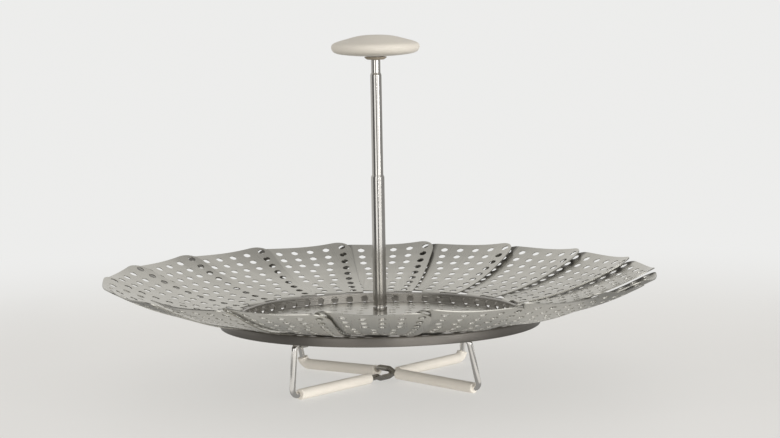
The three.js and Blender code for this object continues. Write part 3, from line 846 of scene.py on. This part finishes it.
def round_places():
    spots = []
    for ring in range(FLOOR_HOLE_RINGS):
        radius = WALL_RADIUS - FLOOR_EDGE - ring * FLOOR_HOLE_PITCH
        count = round(2 * math.pi * radius / FLOOR_HOLE_PITCH)
        for k in range(count):
            angle = 2 * math.pi * (k + 0.5 * (ring % 2)) / count
            spots.append((on_circle(radius, angle, FLOOR_TOP), (0, 0, 0)))
    for k in range(WALL_HOLES):
        angle = 2 * math.pi * (k + 0.5) / WALL_HOLES
        spots.append((on_circle(WALL_RADIUS, angle, WALL_HOLE_HEIGHT), (0, math.pi / 2, angle)))
    return spots


def slot_places():
    spots = []
    for number in range(1, PETAL_COUNT + 1):
        turn = petal_turn(number)
        for side in (-1, 1):
            place = hinge_point(0, side * (BAR_WIDTH + SLOT_WIDTH) / 2)
            place.rotate(Euler((0, 0, turn)))
            spots.append((place + Vector((0, 0, HINGE_HEIGHT)), (0, 0, turn - HINGE_YAW)))
    return spots


print("pan: %d round holes and %d slots" % (len(round_places()), len(slot_places())))

# %% Punch the pan
PAN_HOLE_RADIUS = 1.9 * MM
PUNCH_SIDES = 14
PUNCH_REACH = 3 * MM


def round_punch():
    work = bmesh.new()
    ends = {"radius1": PAN_HOLE_RADIUS, "radius2": PAN_HOLE_RADIUS, "cap_ends": True}
    bmesh.ops.create_cone(work, segments=PUNCH_SIDES, depth=PUNCH_REACH, **ends)
    return linked("round_punch", settle("round_punch", work))


def slot_punch():
    work = bmesh.new()
    bmesh.ops.create_cube(work, size=1.0)
    bmesh.ops.scale(work, vec=(SLOT_LENGTH, SLOT_WIDTH, PUNCH_REACH), verts=work.verts)
    return linked("slot_punch", settle("slot_punch", work))


def places_of(name, spots):
    mesh = bpy.data.meshes.new(name)
    mesh.from_pydata([place for place, turn in spots], [], [])
    turns = mesh.attributes.new("turn", "FLOAT_VECTOR", "POINT")
    for item, (place, turn) in zip(turns.data, spots):
        item.vector = turn
    return linked(name, mesh)


def punched(name, sheet, spots, punch):
    places = places_of(name + "_places", spots)
    values = {"Places": places, "Punch": punch, "Finish": pan_finish}
    mesh = grown(name, sheet, pan_punching, values)
    bpy.data.objects.remove(places)
    bpy.data.objects.remove(punch)
    return mesh


slotted = punched("slotted_pan", pan_blank, slot_places(), slot_punch())
pan_mesh = punched("punched_pan", slotted, round_places(), round_punch())
fit(pan_mesh, pan_finish, "basket", "base_pan")
print("pan:", len(pan_mesh.polygons), "faces")

# %% [markdown]
# ## The telescoping handle
# Three lengths slide in each other: a lower tube fixed to the pan, a middle tube and a solid stem.
# Each tube's mouth is drawn in to hold the next one, which shows as a bright rounded shoulder, and
# each sliding length has a wider foot that fills the bore it slides in. The lower tube stands in a
# ferrule with a groove above it. The heights come from the solids, so the joints keep their play.

# %% Tube sizes
lower_low, lower_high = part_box("lower_tube")
middle_low, middle_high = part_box("middle_tube")
stem_low, stem_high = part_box("stem")
LOWER_RADIUS = (lower_high.x - lower_low.x) / 2
MIDDLE_RADIUS = 2.9 * MM
STEM_RADIUS = 2.4 * MM
STEM_ROUND = 0.3 * MM
TUBE_SIDES = 64
TUBE_WALL = 0.35 * MM
TUBE_FLOOR = 7 * MM
SLIDING_PLAY = 0.05 * MM
SLIDER_LENGTH = 4 * MM
SLIDER_TAPER = 0.4 * MM
SLIDER_ROUND = 0.1 * MM
SHOULDER = 1.0 * MM
SHOULDER_ROUND = 0.7 * MM
LIP_WIDTH = 0.12 * MM
LIP_ROUND = 0.1 * MM
LIP_INNER_ROUND = 0.03 * MM
LIP_TAPER = 0.6 * MM
SPIGOT_RADIUS = 2 * MM
SPIGOT_ROUND = 0.4 * MM
FOOT_GAP = 0.3 * MM
FERRULE_TOP = 38.8 * MM
FERRULE_THICKNESS = 0.15 * MM
FERRULE_ROUND = 0.4 * MM
GROOVE_DEPTH = 0.25 * MM
GROOVE_WIDTH = 0.3 * MM
GROOVE_ROUND = 0.1 * MM
print("handle tops: %.1f and %.1f mm" % (lower_high.z / MM, middle_high.z / MM))


# %% Make the handle's tubes
def tube_mouth(radius, mouth, top):
    """The drawn-in mouth of a tube: a shoulder, a rounded lip and the bore behind it."""
    return [
        (radius, top - SHOULDER, SHOULDER_ROUND),
        (mouth + LIP_WIDTH, top, LIP_ROUND),
        (mouth, top, LIP_INNER_ROUND),
        (mouth, top - SHOULDER, 0),
        (radius - TUBE_WALL, top - SHOULDER - LIP_TAPER, 0),
    ]


def slider(radius, outer_radius, low):
    """The foot of a sliding length, as wide as the bore of the tube round it allows."""
    wide = outer_radius - TUBE_WALL - SLIDING_PLAY
    return [
        (wide, low, SLIDER_ROUND),
        (wide, low + SLIDER_LENGTH, SLIDER_ROUND),
        (radius, low + SLIDER_LENGTH + SLIDER_TAPER, 0),
    ]


def lower_tube():
    foot = FLOOR_TOP + FOOT_GAP
    ferrule = LOWER_RADIUS + FERRULE_THICKNESS
    groove = LOWER_RADIUS - GROOVE_DEPTH
    corners = [
        (0, lower_low.z, 0),
        (SPIGOT_RADIUS, lower_low.z, SPIGOT_ROUND),
        (SPIGOT_RADIUS, foot, 0),
        (ferrule, foot, FERRULE_ROUND),
        (ferrule, FERRULE_TOP, FERRULE_ROUND),
        (groove, FERRULE_TOP, GROOVE_ROUND),
        (groove, FERRULE_TOP + GROOVE_WIDTH, GROOVE_ROUND),
        (LOWER_RADIUS, FERRULE_TOP + 2 * GROOVE_WIDTH, 0),
        *tube_mouth(LOWER_RADIUS, MIDDLE_RADIUS + SLIDING_PLAY, lower_high.z),
        (LOWER_RADIUS - TUBE_WALL, foot + TUBE_FLOOR, 0),
        (0, foot + TUBE_FLOOR, 0),
    ]
    return turned("lower_tube_polished", rounded(corners), TUBE_SIDES)


def middle_tube():
    corners = [
        (MIDDLE_RADIUS - TUBE_WALL, middle_low.z, 0),
        *slider(MIDDLE_RADIUS, LOWER_RADIUS, middle_low.z),
        *tube_mouth(MIDDLE_RADIUS, STEM_RADIUS + SLIDING_PLAY, middle_high.z),
    ]
    return turned("middle_tube_polished", rounded(corners), TUBE_SIDES)


def stem():
    corners = [
        (0, stem_low.z, 0),
        *slider(STEM_RADIUS, MIDDLE_RADIUS, stem_low.z),
        (STEM_RADIUS, stem_high.z, STEM_ROUND),
        (0, stem_high.z, 0),
    ]
    return turned("stem_polished", rounded(corners), TUBE_SIDES)


fit(lower_tube(), tube_finish, "basket", "lower_tube")
fit(middle_tube(), tube_finish, "handle_middle", "middle_tube")
fit(stem(), tube_finish, "handle_stem", "stem")
print("tubes made")

# %% [markdown]
# ## The knob
# The knob is a low moulded button: a nearly flat underside that rises a little to a full round edge,
# long flanks and a flattened top, with no crease anywhere. Its outline is a few guide points whose
# corners are cut off again and again until the line is smooth. A round boss under it takes the stem.

# %% Knob
knob_low, knob_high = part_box("knob")
KNOB_SIDES = 96
STEM_FIT = 0.3 * MM
STEM_SEAT = STEM_RADIUS + STEM_FIT
# Guide points as shares of the knob's radius and height, from its underside to its top.
KNOB_GUIDE = [
    (0.16, 0),
    (0.28, 0),
    (0.63, 0.055),
    (0.915, 0.14),
    (1, 0.32),
    (1, 0.56),
    (0.90, 0.68),
    (0.67, 0.81),
    (0.42, 0.95),
    (0.20, 1),
    (0, 1),
]


def softened(points, rounds=4):
    """Cut the corners of an open line several times over; its two ends stay."""
    for turn in range(rounds):
        line = [points[0]]
        for here, there in zip(points, points[1:]):
            line += [here.lerp(there, 0.25), here.lerp(there, 0.75)]
        points = line + [points[-1]]
    return points


def knob_mesh():
    tall = knob_high.z - knob_low.z
    skin = softened([Vector((knob_high.y * r, knob_low.z + tall * h)) for r, h in KNOB_GUIDE])
    socket = stem_high.z + STEM_FIT
    hollow = [Vector((0, socket)), Vector((STEM_SEAT, socket)), Vector((STEM_SEAT, knob_low.z))]
    return turned("knob_moulded", skin + hollow, KNOB_SIDES)


fit(knob_mesh(), knob_finish, "handle_stem", "knob")
print("knob: %.1f mm across" % (2 * knob_high.y / MM))

# %% Boss
collar_low, collar_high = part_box("knob_collar")
BOSS_RADIUS = 5.6 * MM
BOSS_FOOT_RADIUS = 4.3 * MM
BOSS_BAND = 0.5 * MM
BOSS_ROUND = 0.7 * MM
BOSS_FOOT_ROUND = 0.9 * MM
BOSS_EDGE = 0.1 * MM


def boss_mesh():
    corners = [
        (STEM_SEAT, collar_low.z, BOSS_EDGE),
        (BOSS_FOOT_RADIUS, collar_low.z, BOSS_FOOT_ROUND),
        (BOSS_RADIUS, collar_high.z - BOSS_BAND, BOSS_ROUND),
        (BOSS_RADIUS, collar_high.z, BOSS_EDGE),
        (STEM_SEAT, collar_high.z, 0),
    ]
    return turned("knob_boss_moulded", rounded(corners), TUBE_SIDES)


# The boss takes the dark finish of painted shade under the knob.
fit(boss_mesh(), shaded_boss_finish, "handle_stem", "knob_collar")
print("boss: %.1f mm across" % (2 * BOSS_RADIUS / MM))

# %% [markdown]
# ## Wire legs and sleeves
# Each leg is one wire: it hangs from two pivots under the pan, turns in at its feet and crosses
# below the middle, where a small kink lets the two legs pass. The corners of its path are points
# that carry a bend radius; a tree rounds them, and sweeps a circle along the path. The sleeves are
# the same tree on a stretch of the same path, with a larger circle, so they can't leave the wire.

# %% Leg sizes
PIVOT_HEIGHT = 28.5 * MM
PIVOT_REACH = 9 * MM
PIVOT_BEND = 3.5 * MM
FOOT_BEND = 4 * MM
WIRE_RADIUS = 1.5 * MM
SLEEVE_RADIUS = 2.7 * MM
KINK_BEND = 2.75 * MM
KINK_HALF = 6.8 * MM
# Each leg's own angles in degrees and lengths in millimetres.
LEG_A = {"heading": -45, "fold": 1, "lean": 16, "offset": -4, "shift": 0}
LEG_A |= {"spans": (61, 65), "rise": 1.9, "kink": 2.2}
LEG_B = {"heading": 52, "fold": -1, "lean": -5, "offset": 1.8, "shift": 3.5}
LEG_B |= {"spans": (74, 67), "rise": 0, "kink": -1.1}
print("legs cross at %d degrees" % (LEG_B["heading"] - LEG_A["heading"]))


# %% Leg paths
def leg_axes(leg):
    heading = math.radians(leg["heading"])
    along = Vector((math.cos(heading), math.sin(heading), 0))
    fold = Vector((-math.sin(heading), math.cos(heading), 0)) * leg["fold"]
    pivot = (fold * leg["offset"] + along * leg["shift"]) * MM + Vector((0, 0, PIVOT_HEIGHT))
    return along, fold, pivot


def half_leg(span, drop, middle, kink):
    return [
        (span - PIVOT_REACH, 0, 0),
        (span, 0, PIVOT_BEND),
        (span, drop, FOOT_BEND),
        (KINK_HALF, middle, KINK_BEND),
        (KINK_HALF / 2, middle - kink, KINK_BEND),
    ]


def leg_path(name, leg):
    along, fold, pivot = leg_axes(leg)
    lean = math.radians(leg["lean"])
    down = fold * math.sin(lean) - Vector((0, 0, math.cos(lean)))
    left, right = [span * MM for span in leg["spans"]]
    rise = leg["rise"] * MM
    drop = (PIVOT_HEIGHT - SLEEVE_RADIUS) / math.cos(lean) + rise / (left - FOOT_BEND) * FOOT_BEND
    halves = [half_leg(span, drop, drop - rise, leg["kink"] * MM) for span in (left, right)]
    corners = [(-u, w, r) for u, w, r in halves[0]] + halves[1][::-1]
    mesh = bpy.data.meshes.new(name)
    points = [pivot + along * u + down * w for u, w, r in corners]
    mesh.from_pydata(points, [(i, i + 1) for i in range(len(points) - 1)], [])
    bends = mesh.attributes.new("bend", "FLOAT", "POINT")
    for item, (u, w, radius) in zip(bends.data, corners):
        item.value = radius
    return mesh


wire_paths = {"leg_a": leg_path("wire_path_a", LEG_A), "leg_b": leg_path("wire_path_b", LEG_B)}
print("wire paths:", [len(path.vertices) for path in wire_paths.values()], "corners")

# %% Rod tree
BEND_STEPS = 10


def rod_tree():
    sizes = dict.fromkeys(("Radius", "From Middle", "To Middle"), NUMBER)
    tree, given = new_tree("bent_rod", {**sizes, "Sides": COUNT, "Finish": FINISH})
    path = step(tree, "GeometryNodeMeshToCurve", {"Mesh": given["Geometry"]}).outputs[0]
    bend = step(tree, "GeometryNodeInputNamedAttribute", {"Name": "bend"}, data_type="FLOAT").outputs[0]
    rounding = {"Curve": path, "Count": BEND_STEPS, "Radius": bend}
    bent = step(tree, "GeometryNodeFilletCurve", rounding, mode="POLY").outputs[0]
    length = step(tree, "GeometryNodeCurveLength", {"Curve": bent}).outputs[0]
    start = calc(tree, "MULTIPLY_ADD", length, 0.5, given["From Middle"])
    stop = calc(tree, "MULTIPLY_ADD", length, 0.5, given["To Middle"])
    kept = step(tree, "GeometryNodeTrimCurve", {"Curve": bent, 4: start, 5: stop}, mode="LENGTH")
    circle = {"Resolution": given["Sides"], "Radius": given["Radius"]}
    section = step(tree, "GeometryNodeCurvePrimitiveCircle", circle).outputs["Curve"]
    sweep = {"Curve": kept.outputs[0], "Profile Curve": section, "Fill Caps": True}
    rod = step(tree, "GeometryNodeCurveToMesh", sweep)
    end_tree(tree, rod.outputs[0], given["Finish"], SHARP_BEND)
    return tree


rods = rod_tree()
print("rod tree:", len(rods.nodes), "nodes")

# %% Make the legs
WIRE = {"Radius": WIRE_RADIUS, "Sides": 24, "Finish": wire_finish}
WIRE_EDGE = 0.3 * MM
WIRE_STRETCH = (-1000, 1000)
SLEEVE = {"Radius": SLEEVE_RADIUS, "Sides": 36, "Finish": sleeve_finish}
SLEEVE_EDGE = 0.55 * MM
# Where each sleeve starts and stops along its wire, in millimetres from the wire's middle.
SLEEVES = {
    "leg_a": {"sleeve_rear_left": (-65.4, -8.3), "sleeve_front_right": (7.4, 60)},
    "leg_b": {"sleeve_front_left": (-65, -9.5), "sleeve_rear_right": (14.5, 72.3)},
}


def rod_along(name, body, stretch, look, edge):
    start, stop = stretch
    values = {**look, "From Middle": start * MM, "To Middle": stop * MM}
    return grown(name, wire_paths[body], rods, values, edge)


def make_leg(body, wire):
    mesh = rod_along(wire + "_bent", body, WIRE_STRETCH, WIRE, WIRE_EDGE)
    fit(mesh, wire_finish, body, wire)
    for node, stretch in SLEEVES[body].items():
        mesh = rod_along(node + "_soft", body, stretch, SLEEVE, SLEEVE_EDGE)
        fit(mesh, sleeve_finish, body, node)


make_leg("leg_a", "leg_wire_a")
make_leg("leg_b", "leg_wire_b")
print("legs made, sleeves:", [list(sleeves) for sleeves in SLEEVES.values()])

# %% [markdown]
# ## Saddles, washer and nut
# Under the floor, four small straps hold the leg pivots, and a washer and a nut hold the handle's
# spigot. They hardly show, but a look from below should find them. The straps are bent strips, as
# the knuckles are, and the washer and the nut are turned like the tubes, the nut with six sides.

# %% Saddles
SADDLE_LENGTH = 5 * MM
SADDLE_SHEET = 0.8 * MM
SADDLE_FLANGE = 3.4 * MM
SADDLE_STEPS = 16
WIRE_PLAY = 0.3 * MM
SADDLES = {
    "saddle_rear_left": (LEG_A, -1),
    "saddle_front_right": (LEG_A, 1),
    "saddle_front_left": (LEG_B, -1),
    "saddle_rear_right": (LEG_B, 1),
}


def strap_face(radius, level, wide):
    loop = arc(radius, math.pi, math.pi, SADDLE_STEPS)
    return [(-wide, level), (-radius, level), *loop, (radius, level), (wide, level)]


def saddle(node, leg, side):
    along, fold, pivot = leg_axes(leg)
    across = Vector((0, 0, 1)).cross(along)
    span = leg["spans"][0 if side < 0 else 1] * MM
    reach = span - PIVOT_REACH + SADDLE_LENGTH / 2 + WIRE_PLAY
    middle = pivot + along * side * reach
    bore = WIRE_RADIUS + WIRE_PLAY
    wide = bore + SADDLE_SHEET + SADDLE_FLANGE
    inner = strap_face(bore, WIRE_RADIUS, wide)
    outer = strap_face(bore + SADDLE_SHEET, WIRE_RADIUS - SADDLE_SHEET, wide)

    def place(u, v, w):
        return middle + across * u + Vector((0, 0, v)) + along * w

    mesh = bent_strip(node + "_strap", inner, outer, place, SADDLE_LENGTH / 2)
    return fit(mesh, pan_finish, "basket", node)


saddles = [saddle(node, *values) for node, values in SADDLES.items()]
print("saddles:", len(saddles))

# %% Washer and nut
WASHER_ROUND = 0.2 * MM
WASHER_STEPS = 3
NUT_SIDES = 6
NUT_EDGE = 0.35 * MM
NUT_CREASE = math.radians(25)


def washer_mesh():
    low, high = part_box("post_washer")
    corners = [
        (POST_BORE, low.z, 0),
        (high.x, low.z, WASHER_ROUND),
        (high.x, high.z, WASHER_ROUND),
        (POST_BORE, high.z, 0),
    ]
    return turned("post_washer_plain", rounded(corners, WASHER_STEPS), TUBE_SIDES)


def nut_mesh():
    """A hexagon whose corners are turned down at both ends, round a bore."""
    low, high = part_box("post_nut")
    corner = max(high.x, high.y)
    levels = [
        (POST_BORE, low.z),
        (corner - NUT_EDGE, low.z),
        (corner, low.z + NUT_EDGE),
        (corner, high.z - NUT_EDGE),
        (corner - NUT_EDGE, high.z),
        (POST_BORE, high.z),
    ]
    start = 0 if high.x >= high.y else math.pi / NUT_SIDES
    return turned("post_nut_hexagon", levels, NUT_SIDES, start, NUT_CREASE)


fit(washer_mesh(), pan_finish, "basket", "post_washer")
fit(nut_mesh(), pan_finish, "basket", "post_nut")
print("washer and nut made")

# %% [markdown]
# ## The table and the far ground
# The basket stands on a pale tabletop that runs on into a white ground with no edge to see. One
# large floor does both. Near the basket it is paint with a faint glow of its own, which keeps the
# shadow soft and light, and further off it blends into an even white. Mirrored in the metal it is
# dimmer under, beside and behind the basket, or the bright leg wires would vanish before the pale
# table.

# %% Floor material
TABLE_COLOURS = ((0.25, 0.244, 0.236), (0.27, 0.264, 0.256))
TABLE_CLOUDS = (9, 9, 9)
TABLE_GLOW = (1, 0.985, 0.95, 1)
FAR_WHITE = (0.845, 0.845, 0.835, 1)
DIM_GREY = (0.29, 0.288, 0.28, 1)
# Where the table turns white and where it dims, in metres from the handle's axis.
TABLE_TO_WHITE = (0.2, 0.62)
DIM_UNDER = (0.080, 0.072)
DIM_FROM = (0.118, 0.126)
DIM_UP_TO = (0.27, 0.23)
# The dim ring is open to the front, by the cosine of the angle from there.
DIM_BESIDE = (0.86, 0.76)


def dimmed_part(tree, place, away):
    """Where reflections find the floor dim: under, beside and behind the basket."""
    front = step(tree, "ShaderNodeVectorMath", {0: place, 1: (0, -1, 0)}, operation="DOT_PRODUCT")
    ahead = calc(tree, "DIVIDE", front.outputs["Value"], away)
    ring = calc(tree, "MULTIPLY", ramp(tree, away, *DIM_UP_TO), ramp(tree, away, *DIM_FROM))
    aside = calc(tree, "MULTIPLY", ramp(tree, ahead, *DIM_BESIDE), ring)
    either = calc(tree, "MAXIMUM", aside, ramp(tree, away, *DIM_UNDER))
    mirrored = step(tree, "ShaderNodeLightPath").outputs["Is Glossy Ray"]
    return calc(tree, "MULTIPLY", either, mirrored)


def pale_floor():
    material, tree, shader = new_finish("pale_table")
    place = own_place(tree)
    away = step(tree, "ShaderNodeVectorMath", {0: place}, operation="LENGTH").outputs["Value"]
    far = ramp(tree, away, *TABLE_TO_WHITE, interpolation_type="SMOOTHSTEP")
    colour = tone(tree, clouds(tree, place, TABLE_CLOUDS), *TABLE_COLOURS)
    tree.links.new(colour, shader.inputs["Base Color"])
    shader.inputs["Roughness"].default_value = 0.6
    shader.inputs["Specular IOR Level"].default_value = 0.25
    shader.inputs["Emission Color"].default_value = TABLE_GLOW
    shader.inputs["Emission Strength"].default_value = 0.495
    white = step(tree, "ShaderNodeEmission", {"Color": FAR_WHITE}).outputs[0]
    blend = step(tree, "ShaderNodeMixShader", {0: far, 1: shader.outputs[0], 2: white}).outputs[0]
    dim = step(tree, "ShaderNodeEmission", {"Color": DIM_GREY}).outputs[0]
    shown = {0: dimmed_part(tree, place, away), 1: blend, 2: dim}
    surface = step(tree, "ShaderNodeMixShader", shown).outputs[0]
    tree.links.new(surface, tree.nodes["Material Output"].inputs["Surface"])
    return material


floor_finish = pale_floor()
print("finish:", floor_finish.name)

# %% Floor
FLOOR_REACH = 40.0


def floor_object():
    mesh = bpy.data.meshes.new("table")
    corners = [(x * FLOOR_REACH, y * FLOOR_REACH, 0) for x, y in ((-1, -1), (1, -1), (1, 1), (-1, 1))]
    mesh.from_pydata(corners, [], [(0, 1, 2, 3)])
    mesh.materials.append(floor_finish)
    floor = linked("table", mesh)
    return floor


floor = floor_object()
print("floor:", floor.name)

# %% [markdown]
# ## Light
# Polished metal shows what stands round it more than the light that falls on it. The room is an even
# pale grey, less bright overhead and above all so in reflections, which shades the raised corners of
# the petals. A large soft key light stands to the right, a weaker one to the left, and a low one
# shines up at the knob. Upright cards round the table, seen only in reflections, draw the light and
# dark bands that run up the handle. Two brighter ones higher up show in the inside of the bowl, which
# the foot of the handle mirrors. They cast no shadow and the camera doesn't see them.

# %% Room light
ROOM_COLOUR = (1.0, 0.99, 0.97, 1)
# The room's first and last level, between two heights: as the light that it sheds, and as mirrored.
ROOM_SHED = {"start": 0.1, "end": 0.8, "first": 0.80, "last": 0.62}
ROOM_SEEN = {"start": 0.66, "end": 0.84, "first": 0.84, "last": 0.42}


def room_light():
    world = bpy.data.worlds.new("pale_room")
    world.use_nodes = True
    bpy.context.scene.world = world
    tree = world.node_tree
    place = step(tree, "ShaderNodeTexCoord").outputs["Generated"]
    height = step(tree, "ShaderNodeSeparateXYZ", {0: place}).outputs["Z"]
    mirrored = step(tree, "ShaderNodeLightPath").outputs["Is Glossy Ray"]
    levels = {0: mirrored, 2: ramp(tree, height, **ROOM_SHED), 3: ramp(tree, height, **ROOM_SEEN)}
    strength = step(tree, "ShaderNodeMix", levels).outputs[0]
    background = tree.nodes["Background"]
    background.inputs["Color"].default_value = ROOM_COLOUR
    tree.links.new(strength, background.inputs["Strength"])
    return world


print("room:", room_light().name)

# %% Soft lights
LIGHTS = {
    "key_light": {"place": (1.25, -1.25, 0.28), "target": (0, 0, 0.12), "size": (1.5, 0.5), "power": 17},
    "fill_light": {"place": (-1.6, -0.8, 1.0), "target": (0, 0, 0.05), "size": (0.8, 1.2), "power": 3},
    "low_light": {"place": (0.5, -1.5, 0.07), "target": (0, 0, 0.17), "size": (1.2, 0.12), "power": 4},
}


def soft_light(name, place, target, size, power):
    data = bpy.data.lights.new(name, "AREA")
    data.shape = "RECTANGLE"
    data.size, data.size_y = size
    data.energy = power
    lamp = linked(name, data)
    lamp.location = place
    lamp.rotation_euler = (Vector(place) - Vector(target)).to_track_quat("Z", "Y").to_euler()
    return lamp


lamps = [soft_light(name, **values) for name, values in LIGHTS.items()]
print("lights:", [lamp.name for lamp in lamps])

# %% Cards for the reflections
CARD_PLACE = {"distance": 0.42, "heights": (0.002, 0.48)}
HIGH_CARD_PLACE = {"distance": 0.40, "heights": (0.20, 0.38)}
CARD_TINT = (1, 0.995, 0.98)
CARD_FACET = 6
# Each card's two ends, in degrees from the camera's side, and its level.
CARDS = {
    "grey_card_left": (-150, -88, 0.60),
    "dark_card_left": (-86, -42, 0.13),
    "white_card_left": (-40, -14, 1.3),
    "dark_card_front": (-13, 6, 0.16),
    "white_card_right": (8, 50, 1.2),
    "grey_card_right": (54, 142, 0.34),
}
HIGH_CARDS = {
    "high_card_left": (-34, -20, 2.1),
    "high_card_right": (14, 34, 2.1),
}


def card_finish(name, level):
    """A glow on the inside of a card; its outside is clear."""
    material, tree = new_finish(name)[:2]
    colour = (*[level * part for part in CARD_TINT], 1)
    glow = step(tree, "ShaderNodeEmission", {"Color": colour}).outputs[0]
    clear = step(tree, "ShaderNodeBsdfTransparent").outputs[0]
    outside = step(tree, "ShaderNodeNewGeometry").outputs["Backfacing"]
    shown = step(tree, "ShaderNodeMixShader", {0: outside, 1: glow, 2: clear}).outputs[0]
    tree.links.new(shown, tree.nodes["Material Output"].inputs["Surface"])
    return material


def card(name, first, last, level, distance, heights):
    """An upright piece of a ring between two angles, lit on its inside."""
    count = max(2, round((last - first) / CARD_FACET))
    points = []
    for k in range(count + 1):
        angle = math.radians(first + (last - first) * k / count)
        across, ahead = distance * math.sin(angle), -distance * math.cos(angle)
        points += [(across, ahead, height) for height in heights]
    mesh = bpy.data.meshes.new(name)
    mesh.from_pydata(points, [], [(2 * k, 2 * k + 1, 2 * k + 3, 2 * k + 2) for k in range(count)])
    mesh.materials.append(card_finish(name, level))
    made = linked(name, mesh)
    made.visible_camera = False
    made.visible_diffuse = False
    made.visible_shadow = False
    return made


cards = [card(name, *values, **CARD_PLACE) for name, values in CARDS.items()]
cards += [card(name, *values, **HIGH_CARD_PLACE) for name, values in HIGH_CARDS.items()]
print("cards:", len(cards))

# %% View settings
bpy.context.scene.view_settings.view_transform = "Standard"
print("view transform:", bpy.context.scene.view_settings.view_transform)
